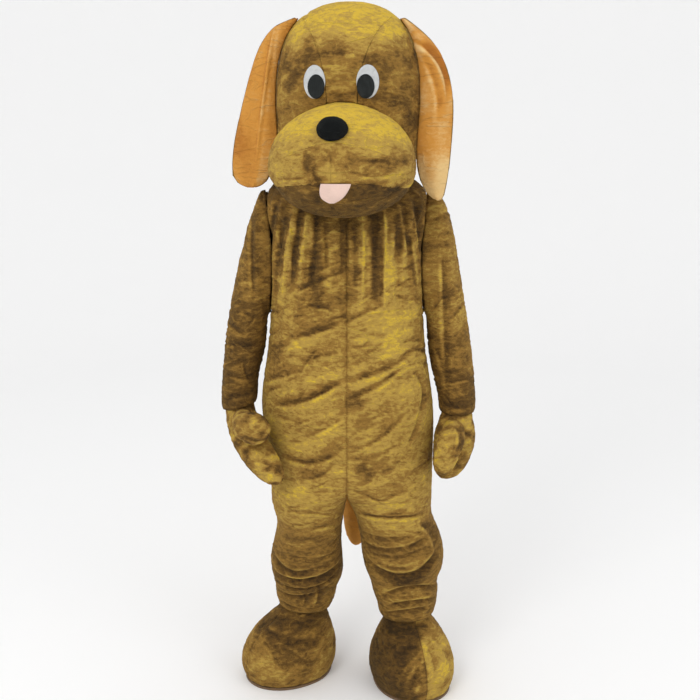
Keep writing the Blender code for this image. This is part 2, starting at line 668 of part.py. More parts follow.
def head_on(direction):
    """The head's surface in a direction from its centre."""
    down = np.where(direction[..., 2] < 0, HEAD_DOWN, HEAD_UP)
    size = points(HEAD_WIDE, HEAD_DEEP, down)
    reach = (np.abs(direction / size) ** HEAD_SQUARE).sum(axis=-1) ** (-1 / HEAD_SQUARE)
    return direction * reach[..., None]


def head_y(x, height):
    """How far forward the head's surface lies at a place seen from the front."""
    rise = height - HEAD_CENTRE[2]
    down = np.where(rise < 0, HEAD_DOWN, HEAD_UP)
    left = 1 - np.abs(x / HEAD_WIDE) ** HEAD_SQUARE - np.abs(rise / down) ** HEAD_SQUARE
    return -HEAD_DEEP * np.maximum(left, 1e-6) ** (1 / HEAD_SQUARE)


def head_x(y, rise):
    """Half the head's width at a depth and a height above its centre."""
    down = np.where(rise < 0, HEAD_DOWN, HEAD_UP)
    left = 1 - np.abs(y / HEAD_DEEP) ** HEAD_SQUARE - np.abs(rise / down) ** HEAD_SQUARE
    return HEAD_WIDE * np.maximum(left, 1e-6) ** (1 / HEAD_SQUARE)


def head_normal(spots):
    """The head's outward normal at points on it, measured from its centre."""
    down = np.where(spots[..., 2] < 0, HEAD_DOWN, HEAD_UP)
    size = points(HEAD_WIDE, HEAD_DEEP, down)
    return unit(np.sign(spots) * np.abs(spots / size) ** (HEAD_SQUARE - 1) / size)


def muzzle_root(angle):
    """Where the muzzle is sewn to the head, and at the bottom the front of the neck opening."""
    rise = np.sin(angle)
    x = MUZZLE_ROOT_WIDE * np.cos(angle)
    height = MUZZLE_LEVEL + np.where(rise < 0, MUZZLE_ROOT_DOWN, MUZZLE_ROOT_UP) * rise
    y = head_y(x, height)
    low = smooth((-rise - 0.5) / 0.5)
    return points(x, y + (CHIN_ROOT_Y - y) * low, height - HEAD_CENTRE[2])


def muzzle_surface(u, v):
    """The muzzle over a square, -1 to 1 each way, that is rounded to a disc: its middle is the front."""
    disc_x = u * np.sqrt(np.maximum(1 - v * v / 2, 0))
    disc_z = v * np.sqrt(np.maximum(1 - u * u / 2, 0))
    radius, angle = np.hypot(disc_x, disc_z), np.arctan2(disc_z, disc_x)
    turn = np.clip(radius / MUZZLE_FRONT_SHARE, 0, 1) * MUZZLE_FRONT_TURN
    spread = powered(np.sin(turn), MUZZLE_SQUARE)
    tall = np.where(disc_z < 0, MUZZLE_DOWN, MUZZLE_UP)
    dome = points(
        MUZZLE_SIDE + MUZZLE_WIDE * spread * np.cos(angle),
        MUZZLE_PLANE - MUZZLE_OUT * powered(np.cos(turn), MUZZLE_SQUARE),
        MUZZLE_LEVEL - HEAD_CENTRE[2] + tall * spread * np.sin(angle),
    )
    back = np.clip((radius - MUZZLE_FRONT_SHARE) / (1 - MUZZLE_FRONT_SHARE), 0, None)[..., None]
    return dome + (muzzle_root(angle) - dome) * back


def muzzle_y(x, height):
    """How far forward the muzzle's front lies at a place seen from the front."""
    rise = height - MUZZLE_LEVEL
    spread = np.hypot((x - MUZZLE_SIDE) / MUZZLE_WIDE, rise / np.where(rise < 0, MUZZLE_DOWN, MUZZLE_UP))
    turn = np.arcsin(np.clip(spread, 0, 0.999) ** (MUZZLE_SQUARE / 2))
    return MUZZLE_PLANE - MUZZLE_OUT * powered(np.cos(turn), MUZZLE_SQUARE)


def bridge_seam(u):
    """The seam under the snout's upper piece, falling away to both sides."""
    return 0.167 - 0.42 * np.abs(u) ** 1.5


def mouth_seam(u):
    """The mouth, lower at its corners than in the middle."""
    return -0.117 - 0.38 * np.abs(u) ** 1.5


def make_muzzle(parent):
    """The upper piece, a cheek on each side, and the chin."""

    def between(low, high):
        return lambda u, v: muzzle_surface(u, low(u) + (high(u) - low(u)) * v)

    def bottom(u):
        return -np.ones_like(u)

    def top(u):
        return np.ones_like(u)

    left, right = np.linspace(CHEEK_SEAM, 1, 8), np.linspace(-1, CHEEK_SEAM, 8)
    wide = np.concatenate([right, left[1:]])
    pieces = (
        ("muzzle_top", between(bridge_seam, top), wide, 7),
        ("cheek_left", between(mouth_seam, bridge_seam), left, 4),
        ("cheek_right", between(mouth_seam, bridge_seam), right, 4),
        ("chin", between(bottom, mouth_seam), wide, 7),
    )
    for name, surface, columns, rows in pieces:
        u, v = np.meshgrid(columns, np.linspace(0, 1, rows))
        outer = surface(u, v)
        inner = outer - normals(surface, u, v, 1.0) * HEAD_WALL
        open_seams(outer, inner, "u0 u1 v0 v1")
        solid(name, "plush_gold", outer, inner, parent)


def crown_edge(share):
    """The edge of the middle pieces from the muzzle (0) over the crown (1) to the nape (2), on the left."""
    turn = np.radians(np.interp(share, CROWN["share"], CROWN["turn"]))
    return turn, np.interp(share, CROWN["share"], CROWN["across"])


def crown_surface(u, v):
    """The strip between the two edges: u runs across it and v from the muzzle to the nape."""
    turn, across = crown_edge(v)
    return head_on(points(u * across, -CROWN_REACH * np.cos(turn), CROWN_REACH * np.sin(turn)))


def lay_on_root(outer):
    """The lowest row of the forehead, set just above the muzzle's own edge."""
    for c in range(outer.shape[1]):
        angle = np.pi / 2 - outer[0, c, 0] / MUZZLE_ROOT_WIDE
        root = muzzle_root(np.array(angle))
        outer[0, c] = head_on(unit(root + np.array([0, 0, 3 * SEAM_GAP])))


def make_crown(parent):
    """The forehead, which widens to the crown, and the back of the head."""
    for name, rows in (("forehead", np.linspace(0, 1, 9)), ("head_back", np.linspace(1, 2, 9))):
        u, v = np.meshgrid(np.linspace(-1, 1, 7), rows)
        outer = crown_surface(u, v)
        if name == "forehead":
            lay_on_root(outer)
        inner = outer - head_normal(outer) * HEAD_WALL
        open_seams(outer, inner, "u0 u1 v1" if name == "forehead" else "u0 u1 v0")
        solid(name, "plush_gold", outer, inner, parent)


def make_head_side(side, parent):
    """A side of the head, between the muzzle, the middle pieces and the neck opening."""
    nape = crown_surface(np.array(1.0), np.array(2.0))
    brow = crown_surface(np.array(1.0), np.array(0.0))
    brow_turn = math.acos(brow[0] / MUZZLE_ROOT_WIDE)

    def front_edge(v):
        root = muzzle_root(NECK_CORNER_TURN + (brow_turn - NECK_CORNER_TURN) * v)
        return head_on(unit(root + np.array(HEAD_SEAM_SHIFT)))

    def neck_edge(u):
        low = front_edge(np.array(0.0))
        bend = 2 * NECK_EDGE_SIDE - (low + nape) / 2
        share = u[..., None]
        return (1 - share) ** 2 * low + 2 * share * (1 - share) * bend + share**2 * nape

    def surface(u, v):
        low, high = neck_edge(u), crown_surface(np.ones_like(u), u)
        front, back = front_edge(v), crown_surface(np.ones_like(v), 2 - v)
        a, b = u[..., None], v[..., None]
        corners = (1 - a) * (1 - b) * front_edge(np.array(0.0)) + a * (1 - b) * nape
        corners = corners + (1 - a) * b * brow + a * b * crown_surface(np.array(1.0), np.array(1.0))
        return head_on(unit((1 - b) * low + b * high + (1 - a) * front + a * back - corners))

    u, v = np.meshgrid(np.linspace(0, 1, 9), np.linspace(0, 1, 9))
    outer = surface(u, v)
    inner = outer - head_normal(outer) * HEAD_WALL
    open_seams(outer, inner, "u0 u1 v1")
    mirror = np.array([SIGN[side], 1, 1])
    solid(f"head_side_{side}", "plush_gold", outer * mirror, inner * mirror, parent)


def disc(columns):
    """A square grid rounded to a unit disc."""
    u, v = np.meshgrid(np.linspace(-1, 1, columns), np.linspace(-1, 1, columns))
    return u * np.sqrt(1 - v * v / 2), v * np.sqrt(1 - u * u / 2)


def make_eye(side, parent):
    """The white of the eye lies on the head, and the dark mesh that the wearer sees through lies on it."""
    x, z = disc(6)
    lift = SEAM_GAP
    ovals = (
        ("eye_white", "eye_white", 0.0, 0.0, EYE_WIDE, EYE_TALL),
        ("pupil", "eye_mesh", -PUPIL_INWARD, -PUPIL_DOWN, PUPIL_WIDE, PUPIL_TALL),
    )
    for name, finish, across, up, wide, tall in ovals:
        spot_x = EYE_ACROSS[side] + across + wide * x
        height = EYE_HEIGHT + up + tall * z
        spots = points(spot_x, head_y(spot_x, height), height - HEAD_CENTRE[2])
        facing = head_normal(spots)
        mirror = np.array([SIGN[side], 1, 1])
        outer, inner = (spots + facing * (lift + EYE_THICK)) * mirror, (spots + facing * lift) * mirror
        solid(f"{name}_{side}", finish, outer, inner, parent)
        lift += EYE_THICK + SEAM_GAP


def make_nose(parent):
    """A stuffed oval button of black plush on the snout."""
    x, z = disc(8)
    spot_x, height = NOSE_SIDE + NOSE_WIDE * x, NOSE_HEIGHT + NOSE_TALL * z
    spots = points(spot_x, muzzle_y(spot_x, height) - 2 * SEAM_GAP, height - HEAD_CENTRE[2])
    dome = NOSE_RIM + (NOSE_OUT - NOSE_RIM) * np.sqrt(np.maximum(1 - np.hypot(x, z) ** 2.4, 0))
    solid("nose", "plush_black", spots + dome[..., None] * NOSE_WAY, spots, parent)


def make_tongue(parent):
    """A flat felt tongue, sewn in at the mouth and hanging over the chin."""
    s, t = np.meshgrid(np.linspace(-1, 1, 8), np.linspace(0, 0.985, 6))
    square = TONGUE_SQUARE["right"] + (TONGUE_SQUARE["left"] - TONGUE_SQUARE["right"]) * (1 + s) / 2
    spot_x = TONGUE_SIDE + TONGUE_SLANT * t + TONGUE_WIDE * s * np.sqrt(1 - t**square)
    height = TONGUE_TOP - TONGUE_LONG * t
    lift = 2 * SEAM_GAP + TONGUE_LIFT * t
    spots = points(spot_x, muzzle_y(spot_x, height) - lift, height - HEAD_CENTRE[2])
    outer = spots + np.array([0.0, -TONGUE_THICK, 0.0])
    solid("tongue", "felt_pink", outer, spots, parent)


def make_ear(side, parent):
    """A long flap in two layers, creased lengthwise where it doubles forward."""
    rows = EAR[side]
    s, v = np.meshgrid(np.linspace(0, 1, 7), np.linspace(0, len(rows["inner"]) - 1, 12))
    rise = at(rows, "height", v) - HEAD_CENTRE[2]
    hang = at(rows, "y", v) - EAR_CREASE_DEEP * smooth(v / 3)
    inner_edge = np.maximum(at(rows, "inner", v), head_x(hang, rise) + EAR_CLEARANCE)
    outer_edge = np.maximum(at(rows, "outer", v), inner_edge + EAR_LEAST_WIDTH)
    x = outer_edge + (inner_edge - outer_edge) * s
    fold = smooth((s - EAR_CREASE[side]) / EAR_CREASE_WIDE + 0.5)
    y = at(rows, "y", v) - EAR_BOW * np.sin(np.pi * s) - EAR_CREASE_DEEP * fold * smooth(v / 3)
    edge = 1 - np.abs(2 * s - 1) ** 4
    ends = smooth(v / 1.5) * smooth((len(rows["inner"]) - 1 - v) / 1.5)
    plump = EAR_RIM_SHARE + (1 - EAR_RIM_SHARE) * edge * ends
    middle = points(x, y, rise)
    mirror = np.array([SIGN[side], 1, 1])
    forward = np.array([0.0, -1.0, 0.0])
    face = middle + forward * (EAR_FACE * plump)[..., None]
    back = middle - forward * (EAR_BACK * plump + SEAM_GAP)[..., None]
    near_back = middle - forward * SEAM_GAP
    solid(f"ear_{side}_face", "plush_peach", face * mirror, middle * mirror, parent)
    solid(f"ear_{side}_back", "plush_gold", near_back * mirror, back * mirror, parent)


def empty(name, parent=None):
    made = bpy.data.objects.new(name, None)
    bpy.data.collections["dog_costume"].objects.link(made)
    made.parent = parent
    return made


def main():
    clear_scene()
    collection = bpy.data.collections.new("dog_costume")
    bpy.context.scene.collection.children.link(collection)
    ground = empty("ground")
    ground.location.z = -SHOULDER_HEIGHT
    head = empty("head_turn", ground)
    head.location = HEAD_CENTRE
    head.rotation_euler.z = HEAD_TURN

    make_suit(ground)
    make_neckband(ground)
    make_tail(ground)
    for side in ("left", "right"):
        make_sleeve(side, ground)
        make_mitt(side, ground)
        make_foot(side, ground)
        make_head_side(side, head)
        make_eye(side, head)
        make_ear(side, head)
    make_crown(head)
    make_muzzle(head)
    make_nose(head)
    make_tongue(head)


main()
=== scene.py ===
"""Dresses the dog costume's solids: plush with its nap and its painted shade and light, gathers and folds, felt, mesh
and coated cloth.

Lengths are in metres in the part's own frame: -Y is the front, +Z is up and +X is the wearer's left.
The tables of folds and of nap give millimetres, and their heights are above the ground. Only the strokes
given to marked() are places in the photograph, in its pixels.
"""

import math  # noqa: E402

import bmesh  # noqa: E402
import bpy  # noqa: E402
import numpy as np  # noqa: E402
from bpy.props import FloatProperty, FloatVectorProperty, PointerProperty  # noqa: E402
from mathutils import Euler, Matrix, Vector  # noqa: E402
from mathutils.bvhtree import BVHTree  # noqa: E402
from mathutils.kdtree import KDTree  # noqa: E402


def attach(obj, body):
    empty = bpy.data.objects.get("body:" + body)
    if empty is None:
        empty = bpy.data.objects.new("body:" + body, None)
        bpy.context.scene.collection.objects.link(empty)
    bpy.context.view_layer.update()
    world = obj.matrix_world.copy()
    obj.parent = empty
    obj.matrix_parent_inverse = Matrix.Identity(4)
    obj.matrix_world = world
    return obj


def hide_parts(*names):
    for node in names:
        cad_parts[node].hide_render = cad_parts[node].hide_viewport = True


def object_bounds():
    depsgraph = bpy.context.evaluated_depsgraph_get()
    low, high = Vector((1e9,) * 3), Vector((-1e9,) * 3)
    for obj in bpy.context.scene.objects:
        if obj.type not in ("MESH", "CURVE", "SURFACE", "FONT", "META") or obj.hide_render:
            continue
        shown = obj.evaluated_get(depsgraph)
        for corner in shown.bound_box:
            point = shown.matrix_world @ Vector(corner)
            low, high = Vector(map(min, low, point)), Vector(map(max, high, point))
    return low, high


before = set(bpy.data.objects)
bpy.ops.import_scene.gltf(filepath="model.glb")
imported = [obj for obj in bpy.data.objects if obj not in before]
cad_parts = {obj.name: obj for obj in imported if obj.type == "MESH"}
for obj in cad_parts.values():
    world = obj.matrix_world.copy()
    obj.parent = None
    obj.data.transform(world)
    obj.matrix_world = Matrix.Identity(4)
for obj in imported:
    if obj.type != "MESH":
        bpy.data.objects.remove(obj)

bl_info = {
    "name": "Dog Costume",
    "version": (1, 0, 0),
    "blender": (4, 5, 0),
    "location": "View3D > Sidebar > Costume",
    "description": "Dresses the solids of a dog costume in plush, felt and mesh",
    "category": "Object",
}

CAD_BOX = [list(map(float, corner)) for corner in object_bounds()]
GROUND = CAD_BOX[0][2]
SIDES = ("left", "right")
# Points of a solid that are nearer than this are one point.
MERGE = 1e-5
# A bend sharper than this stays sharp at a cut edge, and one sharper than the other parts a sheet's two sides.
RIM_ANGLE, SIDE_ANGLE = math.radians(50), math.radians(44)
# How far a piece's cut edge grows towards the next piece, and how thick a wall of cloth can be.
SEAM_REACH, MUZZLE_REACH, THICKEST = 0.0009, 0.0016, 0.012
# How far from a seam the cloth starts to move only straight in or out.
SEAM_CALM = 0.02
# How much of a fold's depth shows as painted shade in its trough and a painted highlight on its lip, how dark and how
# light that may get, and how far the nap with its painted shade and light may reach.
TONE, DARKEST, LIGHTEST, NAP_AND_SHADING_LIMIT = 290, -2.0, 1.2, 1.8
# Folds below this height hang over, and their painted shade lies underneath.
SHIN_TOP = 0.47
# The chest's upright gathers end and the legs' stacked folds start at these heights, and blend in over the last.
CHEST_FOOT, LEG_TOP, BLEND = 1.04, 0.62, 0.12
# How deep and how wide the seam round an ear is.
EAR_SEAM = (0.0016, 0.008)
# How far the nap with its painted shade and light, the crushed patches, the pile's tips and the painted highlights on
# fine crest lines shift the colour of plush.
NAP_AND_SHADING_SHARE, CRUSH_SHARE, TIPS_SHARE, CREST_HIGHLIGHT_SHARE = 0.26, 0.68, 0.40, 0.14
# The head's side puffs out this far behind the right ear, where the ear hangs against it.
EAR_PUFF = 0.0042
# The camera: its sensor's width and its focal length in millimetres, its place, and its turn up from looking down.
CAMERA_LENS, CAMERA_SPOT, CAMERA_TILT = (36.0, 51.48), (0.008, -2.6, 0.13), math.radians(78)
# The photograph is a square of this many pixels.
PHOTO_SIZE = 700
# The radius of the bend from floor to wall, and how many sides the floor has.
FLOOR_BEND, FLOOR_SIDES = 2.0, 96


def table(names, *rows):
    """The rows as named columns. Lengths are given in millimetres and kept in metres, and a tone has no unit."""
    columns = dict(zip(names.split(), np.array(rows, float).T))
    return {name: column if name == "tone" else column / 1000 for name, column in columns.items()}


# Each fold is an arc seen from the front: its two ends, how far its middle bows, half its width, and how
# deep it is. A negative depth is a ridge.
ARC = "x0 height0 x1 height1 bow width depth"


def marked(nodes, *strokes):
    """The folds that strokes marked over the photograph make on the named solids, to the millimetre.

    A stroke is the pixel, from the left and from the top, of its start, its middle and its end, then half
    its width and its depth in millimetres. The scene's camera is matched to the photograph's, so rays from
    it find the places.
    """
    corners, faces = [], []
    for name in sorted(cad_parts):
        if name.startswith(nodes):
            mesh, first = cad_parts[name].data, len(corners)
            mesh.calc_loop_triangles()
            corners += [corner.co.copy() for corner in mesh.vertices]
            faces += [[first + corner for corner in face.vertices] for face in mesh.loop_triangles]
    solids, eye = BVHTree.FromPolygons(corners, faces), Vector(CAMERA_SPOT)
    offsets = np.array(corners) - np.array(eye)

    def place(x, y):
        film, lens = CAMERA_LENS
        middle, pixel = PHOTO_SIZE / 2, film / lens / PHOTO_SIZE
        way = Vector(((x - middle) * pixel, (middle - y) * pixel, -1)).normalized()
        way.rotate(Euler((CAMERA_TILT, 0, 0)))
        found = solids.ray_cast(eye, way)[0]
        if found is None:
            # Just past the outline, the place is as far off as the corner nearest to the ray.
            far = offsets @ np.array(way)
            found = eye + way * far[np.argmin(np.linalg.norm(offsets - far[:, None] * np.array(way), axis=1))]
        return np.array((found.x, found.z - GROUND)) * 1000

    rows = []
    for *spots, width, depth in strokes:
        start, middle, end = (place(*spot) for spot in zip(spots[::2], spots[1::2]))
        chord = end - start
        long = np.linalg.norm(chord)
        off = (middle - start) @ (-chord[1], chord[0]) / long
        share = np.clip((middle - start) @ chord / long**2, 0.25, 0.75)
        rows.append((*np.round((*start, *end, off / (4 * share * (1 - share)))), width, depth))
    return table(ARC, *rows)


# Gathers under the neck, creases across the body and folds stacked over the shins.
FRONT_DRAWN = marked(
    ("front_",),
    (325, 222, 326, 245, 326, 270, 5, 3), (402, 206, 406, 228, 409, 255, 6, 5), (414, 205, 419, 228, 421, 252, 6, 5),
    (276, 206, 271, 232, 270, 262, 7, 5), (283, 205, 280, 232, 281, 268, 5, 3), (384, 235, 385, 270, 384, 312, 6, -4),
    (412, 240, 415, 268, 418, 292, 5, -3), (363, 222, 363, 255, 362, 300, 4, -3),
    (289, 273, 300, 269, 316, 268, 4, 2), (296, 281, 320, 271, 346, 258, 4, 2), (298, 290, 321, 280, 346, 270, 5, 3),
    (308, 305, 320, 307, 334, 312, 5, 3), (316, 299, 326, 291, 338, 286, 4, 2), (288, 337, 318, 331, 344, 320, 8, 5),
    (347, 322, 365, 313, 384, 305, 5, 3), (351, 338, 370, 335, 389, 338, 5, 3), (350, 329, 366, 325, 384, 325, 4, 2),
    (349, 348, 370, 346, 392, 346, 4, 2), (303, 361, 322, 356, 345, 351, 5, 3), (301, 371, 308, 360, 320, 346, 4, 2),
    (263, 380, 284, 375, 303, 370, 6, 4), (347, 357, 372, 352, 400, 344, 4, 2), (275, 404, 310, 398, 343, 379, 9, 7),
    (279, 411, 305, 402, 326, 390, 4, 2), (347, 380, 374, 374, 412, 352, 8, 6), (349, 399, 378, 386, 404, 366, 7, 6),
    (352, 391, 372, 383, 390, 375, 4, -2), (277, 417, 288, 420, 301, 419, 5, 3), (305, 437, 326, 428, 345, 416, 6, 4),
    (288, 428, 300, 424, 312, 417, 4, 2), (283, 455, 300, 462, 343, 448, 7, 5), (286, 444, 306, 441, 322, 440, 4, 2),
    (356, 450, 382, 437, 402, 418, 6, 4), (350, 460, 374, 457, 398, 443, 6, 3), (349, 438, 362, 430, 378, 425, 5, 3),
    (300, 479, 322, 475, 336, 462, 5, 3), (362, 487, 368, 483, 374, 480, 4, 2), (400, 345, 412, 341, 425, 344, 4, 3),
    (403, 356, 414, 351, 427, 353, 5, 4), (406, 366, 417, 363, 429, 368, 5, 3), (417, 374, 424, 392, 420, 412, 6, 4),
    (420, 412, 415, 430, 407, 446, 5, 3), (405, 301, 415, 300, 424, 303, 4, 2), (408, 318, 417, 315, 425, 319, 4, 2),
    (272, 350, 280, 347, 292, 346, 4, 2), (268, 392, 278, 388, 291, 389, 4, 3), (384, 380, 394, 378, 405, 381, 5, 3),
    (311, 530, 322, 527, 336, 525, 5, 4), (292, 512, 304, 514, 322, 512, 4, 2), (290, 555, 308, 559, 336, 551, 5, 4),
    (281, 540, 290, 546, 300, 548, 4, 2), (274, 556, 288, 571, 312, 570, 8, 7), (276, 573, 306, 581, 340, 562, 8, 8),
    (277, 581, 308, 589, 338, 571, 5, 6), (282, 592, 304, 596, 330, 585, 6, 5), (300, 590, 306, 598, 303, 607, 5, 3),
    (318, 588, 319, 598, 315, 609, 6, 4), (284, 602, 300, 609, 326, 603, 4, 3), (361, 514, 385, 518, 426, 512, 6, 6),
    (352, 490, 366, 496, 380, 502, 5, 3), (368, 498, 384, 501, 396, 495, 4, 2), (366, 533, 386, 538, 414, 536, 5, 3),
    (364, 541, 390, 550, 430, 532, 6, 5), (369, 551, 396, 556, 424, 548, 5, 3),
    (374, 566, 400, 577, 437, 551, 10, 10), (377, 562, 396, 568, 414, 567, 4, 3),
    (421, 524, 431, 532, 436, 549, 7, 5), (383, 595, 404, 588, 437, 580, 6, 6), (388, 585, 402, 582, 420, 582, 4, 3),
    (393, 604, 414, 602, 435, 597, 5, 5), (383, 612, 402, 611, 430, 606, 5, 4), (392, 597, 404, 597, 418, 595, 4, 2),
)
# More of them, placed in their own sizes.
FRONT_PLACED = table(
    ARC,
    (-112, 1330, -138, 1140, -3, 8, 5), (-127, 1330, -160, 1100, -4, 6, -3), (-165, 1235, -128, 1232, -3, 2.5, -2),
    (-122, 1236, -82, 1230, -2, 2.5, -2), (-135, 1200, -80, 1215, -4, 2.5, -2), (-70, 1222, -30, 1215, -3, 2.5, -1.5),
    (55, 1268, 135, 1266, -2, 2.5, -1.5), (-120, 1105, -50, 1080, -6, 2.5, -2), (10, 1090, 60, 1118, -3, 2.5, -2.5),
    (-150, 1315, -178, 1150, -3, 8, 4), (-71, 1330, -86, 1150, 0, 9, 5), (-12, 1320, -10, 1150, 1, 10, 3),
    (20, 1300, 22, 1147, 1, 9, 3), (66, 1310, 68, 1110, 2, 11, 6), (92, 1320, 94, 1180, 1, 4, -3),
    (127, 1315, 124, 1200, 1, 10, 4), (-93, 1320, -112, 1180, -2, 6, -3),
)
FRONT_CREASES = {name: np.append(FRONT_DRAWN[name], FRONT_PLACED[name]) for name in ARC.split()}
SLEEVE_RIGHT_CREASES = marked(
    ("sleeve_right",),
    (226, 321, 237, 331, 252, 333, 6, 3), (226, 341, 242, 346, 259, 343, 7, 4), (226, 353, 240, 350, 258, 354, 5, 3),
    (244, 362, 246, 372, 250, 381, 5, 3), (229, 366, 238, 364, 246, 360, 4, 2), (229, 374, 240, 378, 256, 376, 5, 3),
    (224, 399, 236, 396, 254, 392, 7, 4), (252, 218, 252, 258, 254, 300, 6, 4), (236, 283, 246, 280, 255, 283, 5, 2),
    (232, 301, 242, 304, 252, 301, 4, 2), (247, 238, 249, 242, 252, 245, 4, 2), (231, 312, 243, 313, 256, 318, 4, 2),
)
SLEEVE_LEFT_CREASES = marked(
    ("sleeve_left",),
    (437, 301, 449, 297, 462, 290, 5, 3), (447, 321, 456, 314, 464, 301, 5, 3), (434, 262, 446, 261, 458, 257, 4, 2),
    (433, 235, 442, 236, 452, 232, 5, 2), (443, 256, 445, 320, 447, 395, 7, 4), (448, 382, 460, 380, 474, 377, 5, 3),
    (436, 349, 441, 361, 443, 375, 5, 3), (452, 212, 441, 216, 431, 221, 5, 3), (442, 404, 456, 407, 473, 405, 6, 3),
    (452, 345, 461, 347, 471, 344, 4, 2),
)
MITT_RIGHT_CREASES = marked(
    ("mitt_right", "thumb_right"),
    (236, 402, 250, 398, 262, 408, 6, 4), (240, 432, 252, 440, 268, 438, 6, 4), (249, 420, 257, 428, 266, 427, 5, 3),
    (238, 417, 246, 422, 250, 430, 5, 3), (241, 449, 255, 448, 270, 456, 6, 4), (252, 462, 262, 463, 275, 471, 4, 3),
)
MITT_LEFT_CREASES = marked(
    ("mitt_left", "thumb_left"),
    (437, 417, 455, 413, 474, 415, 6, 3), (456, 425, 461, 438, 458, 452, 7, 6), (440, 432, 447, 441, 446, 455, 5, 3),
    (463, 428, 468, 436, 474, 440, 4, 3), (445, 462, 452, 458, 462, 459, 5, 3), (434, 446, 440, 456, 443, 468, 5, 3),
)
FOOT_RIGHT_CREASES = marked(
    ("foot_right",),
    (262, 625, 282, 638, 318, 640, 7, 4), (258, 633, 270, 650, 276, 672, 5, 2), (262, 640, 290, 652, 312, 668, 5, 2),
    (256, 622, 290, 618, 318, 622, 6, 4), (298, 622, 310, 626, 322, 621, 4, 3),
)
FOOT_LEFT_CREASES = marked(
    ("foot_left",),
    (402, 632, 412, 627, 432, 628, 5, 3), (384, 655, 398, 640, 419, 634, 5, 3), (390, 662, 404, 650, 420, 641, 5, 3),
    (396, 682, 407, 663, 420, 650, 6, 3), (410, 690, 417, 672, 421, 655, 5, 3), (380, 622, 400, 628, 426, 619, 6, 4),
    (426, 642, 432, 655, 434, 680, 6, 2), (430, 634, 444, 650, 452, 676, 5, 2),
)
# Puckers of the muzzle and the chin.
MUZZLE_CREASES = table(
    ARC,
    (-74, 1440, -54, 1392, -7, 5, 4), (-89, 1472, -81, 1403, -7, 5, 2), (-179, 1407, -130, 1359, -9, 6, 3),
    (12, 1425, 109, 1424, -9, 4, 2), (19, 1405, 102, 1406, -8, 4, 2), (30, 1442, 111, 1437, 7, 4, 2),
    (-54, 1477, -36, 1425, 10, 4, 2), (88, 1360, 142, 1396, 5, 5, 3),
)
EAR_RIGHT_CREASES = table(
    ARC,
    (-175, 1775, -225, 1444, -3, 4, -3),
)
EAR_LEFT_CREASES = table(
    ARC,
    (170, 1725, 247, 1594, 25, 8, 7), (190, 1681, 224, 1541, 12, 7, 3),
)
# The same kind of folds on the back, pulled across the seat and stacked over the heels.
BACK_CREASES = table(
    ARC,
    (-24, 1345, -27, 1150, 3, 8, 6), (30, 1350, 34, 1128, -3, 7, 5), (-83, 1352, -91, 1182, 4, 8, 6),
    (90, 1355, 101, 1169, -4, 8, 6), (-134, 1350, -150, 1205, 5, 6, 5), (140, 1348, 160, 1222, -5, 6, 5),
    (60, 1340, 64, 1215, 2, 4, -3), (-112, 1330, -121, 1210, 2, 4, -3), (-175, 1115, -60, 1142, 6, 5, 3),
    (30, 1085, 165, 1050, 8, 6, 4), (-150, 1020, -15, 1050, -6, 6, 4), (15, 985, 150, 952, -6, 7, 5),
    (-192, 955, -80, 985, 7, 5, 3), (80, 905, 206, 880, 10, 6, 4), (-185, 880, -20, 925, -12, 9, 6),
    (10, 842, 160, 815, -8, 6, 4), (-200, 822, -90, 850, 8, 5, 3), (-150, 742, -30, 790, -14, 7, 5),
    (30, 760, 175, 708, -16, 8, 5), (55, 672, 190, 640, -12, 6, 4), (-180, 655, -60, 688, -12, 6, 4),
    (-165, 560, -50, 575, -10, 6, 4), (60, 545, 205, 560, -12, 6, 5), (-180, 492, -35, 478, -14, 8, 7),
    (48, 478, 222, 468, -12, 8, 7), (-165, 436, -40, 447, -10, 5, 4), (58, 428, 235, 436, -14, 6, 5),
    (-196, 386, -30, 372, -20, 9, 8), (62, 372, 246, 385, -22, 10, 9), (-190, 326, -40, 338, -14, 7, 6),
    (80, 318, 240, 330, -16, 7, 7), (-185, 280, -40, 290, -12, 6, 5), (100, 276, 240, 268, -10, 6, 5),
    (95, 240, 235, 246, -8, 5, 4),
)
# The back of each sleeve, which bends at the elbow and sags over the cuff.
SLEEVE_BACK_CREASES = table(
    ARC,
    (-312, 1062, -240, 1040, 10, 6, 4), (-318, 1010, -238, 996, 12, 7, 5), (-320, 955, -246, 962, -8, 5, 3),
    (-324, 902, -252, 916, -8, 6, 4), (-326, 856, -258, 845, 6, 6, 4), (-270, 1240, -262, 1100, 4, 6, 4),
    (228, 1150, 292, 1128, 8, 5, 3), (232, 1078, 306, 1050, 10, 7, 4), (238, 1020, 314, 1002, 10, 6, 4),
    (246, 948, 324, 956, -8, 5, 3), (252, 902, 330, 888, 8, 6, 4), (256, 846, 334, 852, -6, 6, 3),
    (262, 1262, 268, 1170, -3, 6, 4),
)
MITT_BACK_CREASES = table(
    ARC,
    (-318, 816, -236, 822, -6, 6, 4), (-305, 778, -222, 768, 8, 6, 4), (-286, 730, -204, 716, 10, 5, 3),
    (250, 784, 332, 790, 8, 6, 4), (256, 746, 330, 738, 10, 5, 3), (246, 706, 308, 696, 12, 5, 3),
)
FOOT_BACK_CREASES = table(
    ARC,
    (-196, 182, -60, 176, 6, 7, 4), (-205, 128, -65, 120, 8, 6, 3), (110, 190, 226, 184, 6, 7, 4),
    (106, 132, 236, 126, 8, 6, 3),
)
# Shallow dents where the head's plush puckers at its seams, behind and on top.
HEAD_BACK_CREASES = table(
    ARC,
    (-120, 1620, -50, 1600, 10, 10, 3), (40, 1560, 120, 1585, 8, 10, 3), (-110, 1480, -20, 1470, 10, 9, 3),
    (20, 1425, 110, 1440, 8, 9, 3), (-130, 1400, -60, 1385, 6, 7, 3),
)
